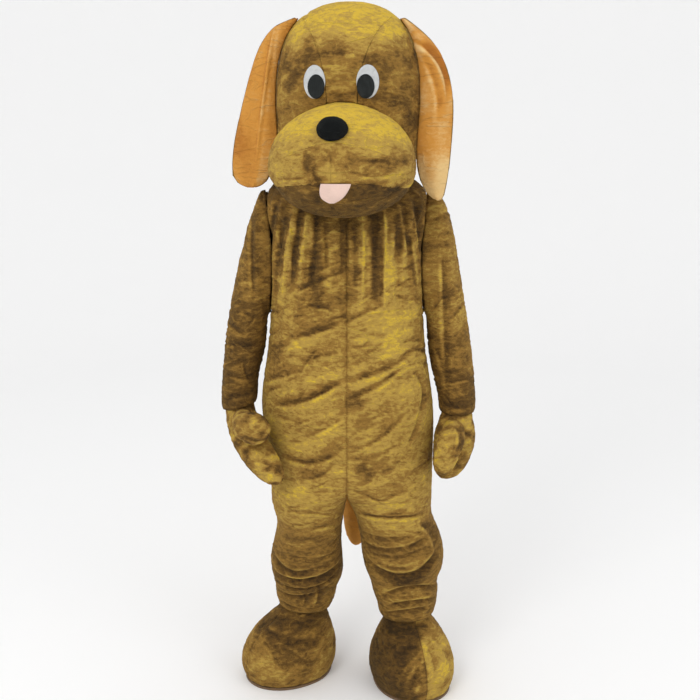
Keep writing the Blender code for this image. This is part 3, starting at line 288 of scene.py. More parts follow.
# How light the nap lies by height, with painted shade at the top of the chest under the muzzle and low on the shins:
# a negative tone is dark.
SUIT_TONE = table(
    "height tone",
    (150, -0.75), (300, -0.65), (420, -0.45), (500, -0.05), (600, 0.15), (720, 0.3), (840, 0.42), (960, 0.32),
    (1030, 0.12), (1120, -0.2), (1240, -0.45), (1300, -0.9), (1360, -1.4),
)
SLEEVE_TONE = table(
    "height tone",
    (800, -1), (920, -0.8), (1040, -0.2), (1160, -0.1), (1300, -0.3), (1380, -0.5),
)
FOOT_TONE = {
    ("left", "inner"): -2.6, ("left", "outer"): 0.8, ("right", "inner"): -0.3, ("right", "outer"): -0.3,
}
# The chin's dark tone is painted shade under the muzzle, together with its nap.
MUZZLE_TONE = {"muzzle_top": 0.0, "cheek_left": 0.1, "cheek_right": 0.15, "chin": -1.7}
# Brushed patches of nap on the front, seen as the folds are: where they run, half their width, their tone.
STROKE = "x0 height0 x1 height1 bow width tone"
FRONT_STROKES = table(
    STROKE,
    (-126, 1340, -166, 1080, -4, 9, 1.3), (-112, 1340, -138, 1130, -3, 7, -0.7),
    (-93, 1340, -118, 1140, -3, 10, 1.2), (-118, 1170, -146, 1060, 0, 13, 0.7), (-71, 1340, -86, 1170, 0, 9, -0.8),
    (-36, 1330, -41, 1110, 0, 12, 0.7), (-12, 1340, -10, 1170, 0, 9, -0.6), (41, 1340, 34, 1080, 0, 8, 1.2),
    (63, 1340, 71, 1120, 0, 11, -1.2), (91, 1340, 95, 1180, 0, 6, 1.2), (96, 1220, 114, 1080, 0, 22, 0.8),
    (120, 1330, 124, 1210, 0, 9, -0.5), (139, 1320, 150, 1160, 0, 14, 0.9), (124, 1260, 150, 1040, 0, 36, 0.5),
    (-86, 1200, -78, 1090, 0, 17, -0.8), (-145, 1300, -120, 1060, 0, 45, -0.3), (-13, 1140, -12, 1060, 0, 10, -0.7),
    (168, 1290, 176, 1150, 2, 6, 0.8), (182, 1280, 190, 1180, 0, 7, -0.6), (-190, 1280, -200, 1080, -4, 12, 0.4),
    (-163, 1290, -180, 1150, -4, 8, -0.6), (20, 1075, 110, 1060, 10, 14, 0.7), (100, 1040, 190, 1075, 6, 12, 0.5),
    (-140, 1080, -50, 1100, 4, 14, -0.4), (-110, 1020, -10, 1035, -4, 13, -0.5),
    (-150, 985, -60, 1010, -4, 14, 0.5), (-120, 900, -10, 945, -6, 16, 0.5), (10, 930, 130, 985, -4, 13, 0.5),
    (20, 830, 130, 880, -6, 16, 0.4), (-160, 850, -70, 870, -8, 10, -0.6), (-150, 745, -20, 775, -10, 14, 0.5),
    (20, 690, 130, 760, -8, 14, 0.3), (-130, 660, -30, 675, -10, 12, -0.5), (-150, 600, -60, 625, -6, 14, 0.4),
    (40, 560, 190, 560, 4, 14, 0.4), (50, 500, 190, 498, 4, 10, 0.5), (-150, 515, -40, 512, 0, 10, 0.5),
    (-160, 455, -50, 460, 0, 11, -0.5), (-190, 350, -60, 338, -16, 9, 0.7), (-190, 312, -50, 322, -16, 6, 0.5),
    (90, 400, 200, 402, -10, 10, 0.7), (110, 345, 235, 352, -6, 12, -0.5), (110, 300, 240, 305, 20, 8, 0.5),
    (20, 1020, 190, 1040, 0, 55, 0.9), (20, 900, 190, 900, 0, 55, 0.5), (-190, 880, -30, 900, 0, 50, 0.3),
    (-190, 600, -30, 600, 0, 60, 0.5), (40, 560, 200, 560, 0, 60, 0.5), (90, 300, 240, 290, 0, 50, 0.5),
    (10, 870, 50, 790, 0, 30, -1.2), (20, 700, 70, 650, 0, 24, -1.4), (90, 665, 120, 660, 0, 14, -1),
    (-190, 980, -140, 900, 0, 30, -0.8), (120, 240, 230, 252, 10, 7, 0.4),
)
# The same on the head, the muzzle and the feet.
HEAD_STROKES = table(
    STROKE,
    (-132, 1765, -112, 1690, 0, 18, 0.8), (-96, 1740, -84, 1670, 0, 12, -0.7), (-45, 1690, 30, 1702, 4, 15, -0.7),
    (-35, 1645, 10, 1600, 0, 15, 0.4), (55, 1722, 134, 1763, -4, 12, 0.6), (70, 1695, 150, 1722, -4, 10, 0.3),
    # The dark stroke beside the left ear, from 117 to 167 mm across, is painted shade below the ear.
    (81, 1650, 175, 1687, 0, 18, -0.5), (117, 1590, 167, 1515, 6, 22, -1.1), (-160, 1665, -148, 1560, -4, 14, 0.6),
    (-137, 1583, -91, 1562, 4, 12, 0.6), (-110, 1650, -150, 1610, 0, 12, -0.5),
)
MUZZLE_STROKES = table(
    STROKE,
    (-90, 1450, -60, 1375, -4, 14, -0.9), (-159, 1450, -140, 1385, -4, 16, 0.6), (-40, 1440, -30, 1400, 0, 10, 0.5),
    (8, 1447, 117, 1430, 4, 10, -0.8), (18, 1402, 150, 1412, 4, 10, 0.6), (30, 1470, 100, 1462, 0, 12, 0.4),
    (98, 1391, 150, 1353, 0, 14, -0.6), (100, 1440, 150, 1450, 0, 12, -0.5), (-60, 1335, 60, 1330, 0, 12, -0.4),
)
FOOT_STROKES = table(
    STROKE,
    (-208, 168, -95, 90, 0, 28, -1), (-262, 95, -170, 45, 0, 18, 0.6), (-58, 160, -62, 100, 0, 12, 0.5),
    (150, 45, 200, 125, 4, 7, 1), (186, 35, 206, 95, 2, 6, 0.9), (131, 180, 213, 147, 0, 8, 0.7),
    (120, 150, 190, 170, 0, 6, 0.6), (225, 165, 262, 120, 0, 18, 0.4), (240, 55, 290, 40, 0, 14, -0.6),
)


def smooth(share):
    """Eases a share of a way from 0 to 1."""
    share = np.clip(share, 0, 1)
    return share * share * (3 - 2 * share)


def unit(vectors):
    """The vectors at a length of 1."""
    return vectors / np.maximum(np.linalg.norm(vectors, axis=-1, keepdims=True), 1e-12)


def arcs(rows, across, height, value):
    """The sum over a table's arcs of value(row, distance from the arc's line, share of its length)."""
    total = np.zeros(len(across))
    for k in range(len(rows["x0"])):
        row = {name: column[k] for name, column in rows.items()}
        start = np.array([row["x0"], row["height0"]])
        chord = np.array([row["x1"], row["height1"]]) - start
        long = np.linalg.norm(chord)
        way = chord / long
        along = ((across - start[0]) * way[0] + (height - start[1]) * way[1]) / long
        off = (height - start[1]) * way[0] - (across - start[0]) * way[1]
        near = (along > -0.15) & (along < 1.15)
        along, off = along[near], off[near] - 4 * row["bow"] * along[near] * (1 - along[near])
        total[near] += value(row, off, along)
    return total


def fold(row, off, along):
    """A soft trough with a low ridge above and below it, which fades out at both ends."""
    ends = smooth((along + 0.12) / 0.35) * smooth((1.12 - along) / 0.35)
    trough = -np.exp(-((off / row["width"]) ** 2))
    lips = 0.32 * np.exp(-(((np.abs(off) - 2.0 * row["width"]) / (1.1 * row["width"])) ** 2))
    return row["depth"] * (trough + lips) * ends


def shade(row, off, along):
    """The painted shade and light of a fold: dark up to a sharp edge, with a painted highlight on the lip beyond it.
    On the shins it is upside down.
    """
    ends = smooth((along + 0.12) / 0.3) * smooth((1.12 - along) / 0.45)
    level = abs(row["x1"] - row["x0"]) > abs(row["height1"] - row["height0"])
    lean = -1 if level and row["height0"] < SHIN_TOP else 1
    step = lean * off / row["width"]
    dark = np.exp(-(np.maximum(step, 0) ** 1.5) / 2.4) * smooth((step + 0.9) / 0.7)
    lip = np.exp(-(((step + 1.35) / 0.6) ** 2))
    return row["depth"] * ends * (0.55 * lip - dark)


def wrinkles(count, seed, across, height, turn, long, depth):
    """Short random creases inside a range of places: turn is how they slope, in radians, and its spread."""
    rng = np.random.default_rng(seed)
    x, z = rng.uniform(*across, count), rng.uniform(*height, count)
    slope, reach = rng.normal(*turn, count), rng.uniform(*long, count) / 2
    return {
        "x0": x - reach * np.cos(slope),
        "height0": z - reach * np.sin(slope),
        "x1": x + reach * np.cos(slope),
        "height1": z + reach * np.sin(slope),
        "bow": rng.uniform(-0.10, 0.10, count) * reach,
        "width": rng.uniform(0.0018, 0.0036, count),
        "depth": rng.uniform(0.4, 1.0, count) * np.where(rng.random(count) < 0.3, -0.7, 1.0) * depth,
    }


def stroke(row, off, along):
    """A brushed patch of nap, lighter or darker than the cloth round it."""
    ends = smooth((along + 0.15) / 0.4) * smooth((1.15 - along) / 0.4)
    return row["tone"] * np.exp(-(np.abs(off / row["width"]) ** 2.4)) * ends


LATTICE = np.random.default_rng(7).random(4096)


def speckle(spots):
    """Smooth random values from 0 to 1, about one bump for each unit of length."""
    cell = np.floor(spots).astype(np.int64)
    part = spots - cell
    part = part * part * (3 - 2 * part)
    total = np.zeros(len(spots))
    for corner in np.ndindex(2, 2, 2):
        at = cell + corner
        key = (at[:, 0] * 73856093) ^ (at[:, 1] * 19349663) ^ (at[:, 2] * 83492791)
        share = np.prod(np.where(corner, part, 1 - part), axis=1)
        total += share * LATTICE[key & 4095]
    return total


def slanted(spots, size, turn):
    """Places measured in patches that are size (long, high) and slope up by turn, in radians."""
    cos, sin = math.cos(turn), math.sin(turn)
    across = spots[:, 0] * cos + spots[:, 2] * sin
    up = spots[:, 2] * cos - spots[:, 0] * sin
    return np.stack([across / size[0], spots[:, 1] / size[0], up / size[1]], axis=1)


def creep(spots, size, turn):
    """Fine sharp-crested ripples, long one way."""
    places = slanted(spots, size, turn)
    ridge = 1 - np.abs(2 * speckle(places) - 1)
    return ridge**2 + 0.5 * (1 - np.abs(2 * speckle(places * 2.1 + 31.7) - 1)) ** 2 - 0.62


def nearest(among, spots, count=1):
    """The numbers of the points among those given that each spot is nearest to, nearest first."""
    tree = KDTree(len(among))
    for k, spot in enumerate(among):
        tree.insert(spot, k)
    tree.balance()
    return np.array([[found[1] for found in tree.find_n(spot, count)] for spot in spots], int).reshape(-1, count)


class Cloth:
    """One piece: a copy of its solid's mesh, merged and smoothed, whose outside carries the form."""

    def __init__(self, node, slot, split=1, faces=0):
        """split is how often each outside edge is cut. faces tells which side is the outside: the front (-1), the
        back (1) or the larger one (0)."""
        self.node, self.faces, self.reach = node, faces, SEAM_REACH
        for other in bpy.context.selected_objects:
            other.select_set(False)
        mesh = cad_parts[node].data.copy()
        mesh.materials.clear()
        self.piece = bpy.data.objects.new(node + "_cloth", mesh)
        bpy.context.scene.collection.objects.link(self.piece)
        bpy.context.view_layer.objects.active = self.piece
        self.piece.select_set(True)
        bpy.ops.object.mode_set(mode="EDIT")
        bpy.ops.mesh.select_all(action="SELECT")
        bpy.ops.mesh.remove_doubles(threshold=MERGE)
        bpy.ops.mesh.customdata_custom_splitnormals_clear()
        bpy.ops.object.mode_set(mode="OBJECT")
        self.mark_sides()
        bpy.ops.object.mode_set(mode="EDIT")
        bpy.ops.mesh.tris_convert_to_quads(
            face_threshold=math.radians(60), shape_threshold=math.radians(100), materials=True
        )
        bpy.ops.object.mode_set(mode="OBJECT")
        self.mark_rim()
        smoother = self.piece.modifiers.new("smooth", "SUBSURF")
        smoother.levels = smoother.render_levels = 2
        bpy.ops.object.modifier_apply(modifier=smoother.name)
        if split:
            self.split_outside(split)
        self.piece.data.shade_smooth()
        self.read()
        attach(self.piece, "root")
        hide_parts(node)

    def mark_sides(self):
        """Numbers the faces: the inside 0, the outside 1 and the cut edge between them 2."""
        grid = bmesh.new()
        grid.from_mesh(self.piece.data)
        solid = BVHTree.FromBMesh(grid)
        # Straight back from its middle, a face of the sheet meets the wall's far side. A cut edge meets nothing near.
        deep = [solid.ray_cast(f.calc_center_median() - MERGE * f.normal, -f.normal)[3] or 1.0 for f in grid.faces]
        thick = float(np.median(deep))
        sheet = {face for face, depth in zip(grid.faces, deep) if thick > THICKEST or depth < 2.2 * thick}
        sides = []
        while sheet:
            side, queue = [], [sheet.pop()]
            while queue:
                face = queue.pop()
                side.append(face)
                flat = [edge for edge in face.edges if edge.calc_face_angle(0) < SIDE_ANGLE]
                beside = {other for edge in flat for other in edge.link_faces} & sheet
                sheet -= beside
                queue.extend(beside)
            sides.append(side)
        for face in grid.faces:
            face.material_index = 2
        sides = sorted(sides, key=lambda side: -sum(face.calc_area() for face in side))[:2]
        if self.faces:
            sides.sort(key=lambda side: -self.faces * sum(face.normal.y * face.calc_area() for face in side))
        for side, number in zip(sides, (1, 0)):
            for face in side:
                face.material_index = number
        grid.to_mesh(self.piece.data)
        grid.free()

    def mark_rim(self):
        """Keeps the rim and its corners sharp when the mesh is smoothed."""
        grid = bmesh.new()
        grid.from_mesh(self.piece.data)
        crease = grid.edges.layers.float.new("crease_edge")
        for edge in grid.edges:
            edge.smooth = True
            beside = [face.material_index for face in edge.link_faces]
            if len(set(beside)) > 1 or 2 in beside and edge.calc_face_angle(0) > RIM_ANGLE:
                edge[crease] = 1.0
        grid.to_mesh(self.piece.data)
        grid.free()

    def split_outside(self, cuts):
        """Cuts each outside edge, so that the mesh there is fine enough for wrinkles."""
        grid = bmesh.new()
        grid.from_mesh(self.piece.data)
        edges = {edge for face in grid.faces if face.material_index == 1 for edge in face.edges}
        bmesh.ops.subdivide_edges(grid, edges=list(edges), cuts=cuts, use_grid_fill=True)
        grid.to_mesh(self.piece.data)
        grid.free()

    def read(self):
        """Reads the vertices, which of them are outside, and the outward normals there."""
        mesh = self.piece.data
        count = len(mesh.vertices)
        self.spots = np.empty(count * 3, np.float32)
        mesh.vertices.foreach_get("co", self.spots)
        self.spots = self.spots.reshape(-1, 3).astype(float)
        material = np.empty(len(mesh.polygons), np.int32)
        mesh.polygons.foreach_get("material_index", material)
        sizes = np.empty(len(mesh.polygons), np.int32)
        mesh.polygons.foreach_get("loop_total", sizes)
        facing = np.empty(len(mesh.polygons) * 3, np.float32)
        mesh.polygons.foreach_get("normal", facing)
        corner = np.empty(len(mesh.loops), np.int32)
        mesh.loops.foreach_get("vertex_index", corner)
        face = np.repeat(np.arange(len(sizes)), sizes)
        outer, cut = material[face] == 1, material[face] == 2
        total, beside = np.zeros((count, 3)), np.zeros((count, 3))
        np.add.at(total, corner[outer], facing.reshape(-1, 3)[face[outer]])
        np.add.at(beside, corner[cut], facing.reshape(-1, 3)[face[cut]])
        self.outside = np.unique(corner[outer])
        self.rim = np.intersect1d(self.outside, np.unique(corner[~outer]))
        self.cut, self.beside = np.unique(corner[cut]), unit(beside)
        self.normal = unit(total[self.outside])
        self.out = self.spots[self.outside]
        self.find_rim()
        self.height = self.out[:, 2] - GROUND
        self.move = np.zeros(len(self.outside))
        self.nap_and_shading = np.zeros(len(self.outside))

    def find_rim(self):
        """How far each outside point is from the seam, and which way the cut edge faces there."""
        self.away, across = np.full(len(self.out), 1.0), np.zeros((len(self.out), 3))
        if len(self.rim):
            near = nearest(self.spots[self.rim], self.out)[:, 0]
            self.away = np.linalg.norm(self.out - self.spots[self.rim][near], axis=1)
            across = self.beside[self.rim][near]
        # Near a seam the cloth moves straight in or out, so that its edge stays against the next piece's.
        share = (1 - smooth(self.away / SEAM_CALM))[:, None]
        along = (self.normal * across).sum(axis=1, keepdims=True)
        self.way = unit(self.normal - share * along * across)

    def sink_seams(self, depth, width, tone=-0.5):
        """Rolls the outside in towards its edges, as stitched pile does."""
        share = np.clip(1 - self.away / width, 0, 1)
        self.move -= depth * share**2
        self.nap_and_shading += tone * share**2

    def crease(self, rows, strength, facing=0):
        """Adds a table's folds, with painted shade in their troughs and painted highlights on their lips, on the side
        that faces the front (-1), the back (1) or both (0).
        """
        depth = arcs(rows, self.out[:, 0], self.height, fold)
        tone = arcs(rows, self.out[:, 0], self.height, shade)
        if facing:
            seen = smooth(facing * self.normal[:, 1] * 3 + 0.8)
            depth, tone = depth * seen, tone * seen
        self.move += strength * depth
        # The folds' painted shade and highlights are made unevenly strong.
        tone *= 0.45 + 1.1 * speckle(self.out * 42)
        self.nap_and_shading += np.clip(strength * tone * TONE, DARKEST, LIGHTEST)

    def crumple(self, facing, *spread):
        """Adds short random creases on the side that faces the front (-1) or the back (1)."""
        self.crease(wrinkles(*spread), 1.0, facing)

    def brush(self, rows, facing=0):
        """Adds a table's patches of nap, with uneven edges."""
        tone = arcs(rows, self.out[:, 0], self.height, stroke)
        grain = speckle(slanted(self.out, (0.040, 0.011), 0.25))
        tone *= smooth(2.2 * speckle(self.out * 70) + 0.1) * (0.35 + 1.2 * grain)
        if facing:
            tone *= smooth(facing * self.normal[:, 1] * 3 + 0.8)
        self.nap_and_shading += tone

    def ripple(self, size, depth, turn=0.0, share=1.0, tone=0.0):
        """Adds fine crushed ripples, with painted highlights on their crests and painted shade in their troughs by
        tone.
        """
        wave = share * creep(self.out, size, turn)
        self.move += depth * wave
        self.nap_and_shading += tone * wave

    def mottle(self, size, tone, turn=0.0, share=1.0):
        """Adds soft patches where the nap is brushed one way or the other: size is (long, high)."""
        self.nap_and_shading += tone * share * (2 * speckle(slanted(self.out, size, turn) + 5.3) - 1)

    def finish(self, *finishes, follow=np.min):
        """Moves the outside along its normals, and the inside with it, and gives the piece its finish."""
        self.nap_and_shading = NAP_AND_SHADING_LIMIT * np.tanh(self.nap_and_shading / NAP_AND_SHADING_LIMIT)
        mesh, count = self.piece.data, len(self.spots)
        shift = self.way * self.move[:, None]
        within = np.setdiff1d(np.arange(count), self.outside)
        # The inside is a coarser mesh, so it goes in as far as the deepest part of the outside near it.
        near = nearest(self.out, self.spots[within], min(28, len(self.out)))
        moved, nap_and_shading = self.spots.copy(), np.zeros(count)
        moved[self.outside] += shift
        nap_and_shading[self.outside] = self.nap_and_shading
        moved[within] += self.way[near[:, 0]] * follow(self.move[near], axis=1)[:, None]
        nap_and_shading[within] = self.nap_and_shading[near[:, 0]]
        moved[self.cut] += self.reach * self.beside[self.cut]
        moved[:, 2] = np.maximum(moved[:, 2], GROUND)
        mesh.vertices.foreach_set("co", moved.astype(np.float32).ravel())
        # One attribute carries the nap together with its painted shade and light.
        nap_and_shading_layer = mesh.attributes.new("nap_and_shading", "FLOAT", "POINT")
        nap_and_shading_layer.data.foreach_set("value", nap_and_shading.astype(np.float32))
        for finish in finishes:
            mesh.materials.append(finish)
        number = np.empty(len(mesh.polygons), np.int32)
        mesh.polygons.foreach_get("material_index", number)
        mesh.polygons.foreach_set("material_index", np.minimum(number, len(finishes) - 1))
        mesh.update()


def add(tree, kind, inputs=None, **settings):
    """A shader node with its settings, and its inputs set or linked."""
    made = tree.nodes.new("ShaderNode" + kind)
    for name, value in settings.items():
        setattr(made, name, value)
    for name, value in (inputs or {}).items():
        if isinstance(value, bpy.types.NodeSocket):
            tree.links.new(value, made.inputs[name])
        else:
            made.inputs[name].default_value = value
    return made


def blank(name, **shader):
    """A new material, its tree, its shader with those sockets set, and the object's own coordinates."""
    material = bpy.data.materials.new(name)
    material.use_nodes = True
    tree = material.node_tree
    base = tree.nodes["Principled BSDF"]
    for socket, value in shader.items():
        base.inputs[socket.replace("_", " ").title().replace("Ior", "IOR")].default_value = value
    return material, tree, base, add(tree, "TexCoord").outputs["Object"]


def noise(tree, place, scale, detail=3.0, turn=(0.0, 0.0, 0.0), roughness=0.5, distortion=0.0):
    """Noise whose bumps are 1/scale long along each axis, once turned."""
    spot = add(tree, "Mapping", {"Vector": place, "Rotation": turn, "Scale": scale}, vector_type="POINT")
    inputs = {"Scale": 1.0, "Detail": detail, "Roughness": roughness, "Distortion": distortion}
    return add(tree, "TexNoise", {"Vector": spot.outputs[0], **inputs}).outputs[0]


def scaled(tree, value, times, plus):
    """times x value + plus, where plus may be another value."""
    return add(tree, "Math", {0: value, 1: times, 2: plus}, operation="MULTIPLY_ADD").outputs[0]


def ridged(tree, value):
    """Thin sharp crests where the noise passes its middle."""
    side = add(tree, "Math", {0: scaled(tree, value, 2.0, -1.0)}, operation="ABSOLUTE").outputs[0]
    return add(tree, "Math", {0: scaled(tree, side, -1.0, 1.0), 1: 30.0}, operation="POWER").outputs[0]


def colored(tree, base, color, light):
    """Gives the shader a colour, made darker or lighter by a value."""
    inputs = {"Factor": 1.0, 6: (*color, 1.0), 7: light}
    mixed = add(tree, "Mix", inputs, data_type="RGBA", blend_type="MULTIPLY")
    tree.links.new(mixed.outputs[2], base.inputs["Base Color"])


def bumped(tree, base, layers, distance):
    """Adds (value, height) layers to the shader as bump."""
    total = 0.0
    for value, height in layers:
        total = scaled(tree, value, height, total)
    bump = add(tree, "Bump", {"Height": total, "Strength": 1.0, "Distance": distance})
    tree.links.new(bump.outputs[0], base.inputs["Normal"])


def plush(name, stops, middle=0.5, contrast=1.0, sheen=0.08, tint=(1.0, 0.72, 0.25, 1.0), shine=0.1):
    """Short brushed pile: stops colours it from dark to light by its nap, with the painted shade and light that go
    with the nap, and where it is crushed.
    """
    material, tree, base, place = blank(
        name, roughness=0.9, specular_ior_level=shine, sheen_weight=sheen, sheen_roughness=0.4, sheen_tint=tint
    )
    nap_and_shading = add(tree, "Attribute", attribute_name="nap_and_shading").outputs["Fac"]
    crush = noise(tree, place, (65.0, 65.0, 130.0), 4.0, (0.0, 0.3, 0.0), 0.55, 0.5)
    tips = noise(tree, place, (430.0, 430.0, 900.0), 2.0)
    # Thin crest lines, painted as highlights in the colour and also used as bump.
    crest_highlights = ridged(tree, noise(tree, place, (7.0, 9.0, 24.0), 1.5, (0.0, 0.45, 0.0), 0.5, 0.8))
    # The crushed patches and the tips vary about a middle value, and the painted highlights on the crest lines only
    # lighten.
    tone = scaled(tree, nap_and_shading, NAP_AND_SHADING_SHARE, middle - contrast * (CRUSH_SHARE + TIPS_SHARE) / 2)
    tone = scaled(tree, crest_highlights, CREST_HIGHLIGHT_SHARE * contrast, tone)
    tone = scaled(tree, tips, TIPS_SHARE * contrast, scaled(tree, crush, CRUSH_SHARE * contrast, tone))
    ramp = add(tree, "ValToRGB", {"Fac": tone})
    ramp.color_ramp.interpolation = "EASE"
    marks = ramp.color_ramp.elements
    while len(marks) < len(stops):
        marks.new(0.5)
    for k, color in enumerate(stops):
        marks[k].position = k / (len(stops) - 1)
        marks[k].color = (*color, 1.0)
    tree.links.new(ramp.outputs[0], base.inputs["Base Color"])
    pile = noise(tree, place, (800.0, 800.0, 1500.0), 2.0, (0.0, 0.3, 0.0))
    bumped(tree, base, ((crush, 1.0), (crest_highlights, 0.50), (tips, 0.45), (pile, 0.2)), 0.0045)
    return material


def knit(name, color):
    """The knitted backing on the inside."""
    material, tree, base, place = blank(name, roughness=0.9, specular_ior_level=0.15)
    rows = add(tree, "TexWave", {"Vector": place, "Scale": 260.0, "Distortion": 2.0}, bands_direction="Z").outputs[0]
    wear = noise(tree, place, (30.0, 30.0, 30.0), 4.0)
    light = scaled(tree, wear, 0.7, scaled(tree, rows, 0.15, 0.55))
    colored(tree, base, color, light)
    bumped(tree, base, ((rows, 1.0), (wear, 1.0)), 0.0008)
    return material


def felt(name, color):
    """Plain felt, matted and a little worn."""
    material, tree, base, place = blank(name, roughness=0.95, specular_ior_level=0.15, sheen_weight=0.15)
    mat = noise(tree, place, (260.0, 260.0, 260.0), 5.0, roughness=0.7, distortion=1.5)
    wear = noise(tree, place, (40.0, 40.0, 40.0), 3.0)
    light = scaled(tree, mat, 0.25, scaled(tree, wear, 0.25, 0.75))
    colored(tree, base, color, light)
    bumped(tree, base, ((mat, 1.0), (wear, 0.6)), 0.0012)
    return material


def satin(name, color):
    """The slightly creased white of the eyes, with a satin finish."""
    material, tree, base, place = blank(name, roughness=0.45, specular_ior_level=0.4, sheen_weight=0.1)
    crumple = noise(tree, place, (55.0, 55.0, 55.0), 4.0, distortion=1.2)
    threads = add(tree, "TexWave", {"Vector": place, "Scale": 420.0}, bands_direction="DIAGONAL").outputs[0]
    light = scaled(tree, crumple, 0.5, 0.72)
    colored(tree, base, color, light)
    bumped(tree, base, ((crumple, 1.0), (threads, 0.05)), 0.003)
    return material


def netting(name, color):
    """Fine dark mesh, which the wearer looks through."""
    material, tree, base, place = blank(name, roughness=0.6, specular_ior_level=0.12)
    holes = add(tree, "TexVoronoi", {"Vector": place, "Scale": 620.0, "Randomness": 0.15}).outputs["Distance"]
    haze = noise(tree, place, (45.0, 45.0, 45.0), 2.0)
    light = scaled(tree, holes, 1.5, scaled(tree, haze, 0.9, 0.1))
    colored(tree, base, color, light)
    bumped(tree, base, ((holes, 1.0),), 0.0008)
    return material


def coated(name, color):
    """Coated cloth with a pebbled face, scuffed where it meets the ground."""
    material, tree, base, place = blank(name, roughness=0.6, specular_ior_level=0.4)
    pebbles = add(tree, "TexVoronoi", {"Vector": place, "Scale": 330.0}).outputs["Distance"]
    scuffs = noise(tree, place, (40.0, 12.0, 40.0), 6.0, roughness=0.7)
    light = scaled(tree, scuffs, 1.3, 0.4)
    colored(tree, base, color, light)
    bumped(tree, base, ((pebbles, 1.0), (scuffs, 0.5)), 0.0008)
    return material


def dye(name, description, default):
    """A colour that a user can change."""
    return FloatVectorProperty(name=name, description=description, default=default, subtype="COLOR", min=0.0, max=1.0)


class COSTUME_PG_cloth(bpy.types.PropertyGroup):
    """Sizes and colours of the cloth."""

    folds: FloatProperty(
        name="Folds", description="Depth of the folds, as a share of the drawn one", default=1.0, min=0.0, max=1.5
    )
    ripple: FloatProperty(
        name="Ripple", description="Height of the fine ripples in the pile", default=0.0011, min=0.0, max=0.003,
        unit="LENGTH",
    )
    seam_depth: FloatProperty(
        name="Seam depth", description="How far the pile rolls in at a seam", default=0.0028, min=0.0, max=0.004,
        unit="LENGTH",
    )
    seam_width: FloatProperty(
        name="Seam width", description="How far from a seam the pile starts to roll in", default=0.009, min=0.003,
        max=0.02, unit="LENGTH",
    )
    shade: dye("Plush in shade", "Pile seen end on, in folds", (0.045, 0.026, 0.011))
    brown: dye("Brown plush", "Pile brushed away", (0.125, 0.066, 0.017))
    olive: dye("Golden brown plush", "Pile at rest", (0.280, 0.152, 0.033))
    khaki: dye("Golden plush", "Pile brushed towards the light", (0.455, 0.292, 0.063))
    gold: dye("Bright plush", "Tips of the pile", (0.670, 0.450, 0.050))
    peach: dye("Ear plush", "Plush of the ears' faces and the tail", (0.640, 0.290, 0.054))
    black: dye("Nose plush", "Plush of the nose", (0.008, 0.009, 0.009))
    pink: dye("Tongue felt", "Felt of the tongue", (0.730, 0.530, 0.450))
    white: dye("Eye white", "White round the pupils", (0.520, 0.535, 0.540))
    mesh: dye("Eye mesh", "Mesh of the pupils", (0.012, 0.014, 0.014))
    lining: dye("Backing", "Knitted backing inside", (0.420, 0.300, 0.160))
    sole: dye("Soles", "Coated cloth under the feet", (0.150, 0.088, 0.042))


class COSTUME_PG_stage(bpy.types.PropertyGroup):
    """Sizes and lights of the stage."""

    floor: FloatProperty(
        name="Floor", description="Radius of the floor's flat part", default=4.2, min=2.0, max=10.0, unit="LENGTH"
    )
    wall: FloatProperty(
        name="Wall", description="Height of the wall that the floor curves up into", default=3.5, min=1.0, max=8.0,
        unit="LENGTH",
    )
    pale: dye("Floor colour", "Colour of the floor and wall", (0.94, 0.94, 0.94))
    key: FloatProperty(name="Key light", description="Power of the main light", default=50.0, min=0.0, unit="POWER")
    fill: FloatProperty(name="Fill light", description="Power of the side light", default=16.0, min=0.0, unit="POWER")
    sky: FloatProperty(name="Sky", description="Brightness of the light from all round", default=0.92, min=0.0)


def gold_plush(sizes):
    """The one golden plush of the suit and the head."""
    stops = [tuple(stop) for stop in (sizes.shade, sizes.brown, sizes.olive, sizes.khaki, sizes.gold)]
    return bpy.data.materials.get("gold_plush") or plush("gold_plush", stops, 0.52, 1.15)


def backing(sizes):
    """The one backing inside every piece of golden plush."""
    return bpy.data.materials.get("backing") or knit("backing", tuple(sizes.lining))


def tone_by(rows, height):
    """The nap's tone at each height."""
    return np.interp(height, rows["height"], rows["tone"])


def sewn(cloth, sizes, seam):
    """Rolls in the seams by seam (depth, width and tone) and gives the piece its backing and golden plush."""
    cloth.sink_seams(*seam)
    cloth.finish(backing(sizes), gold_plush(sizes))


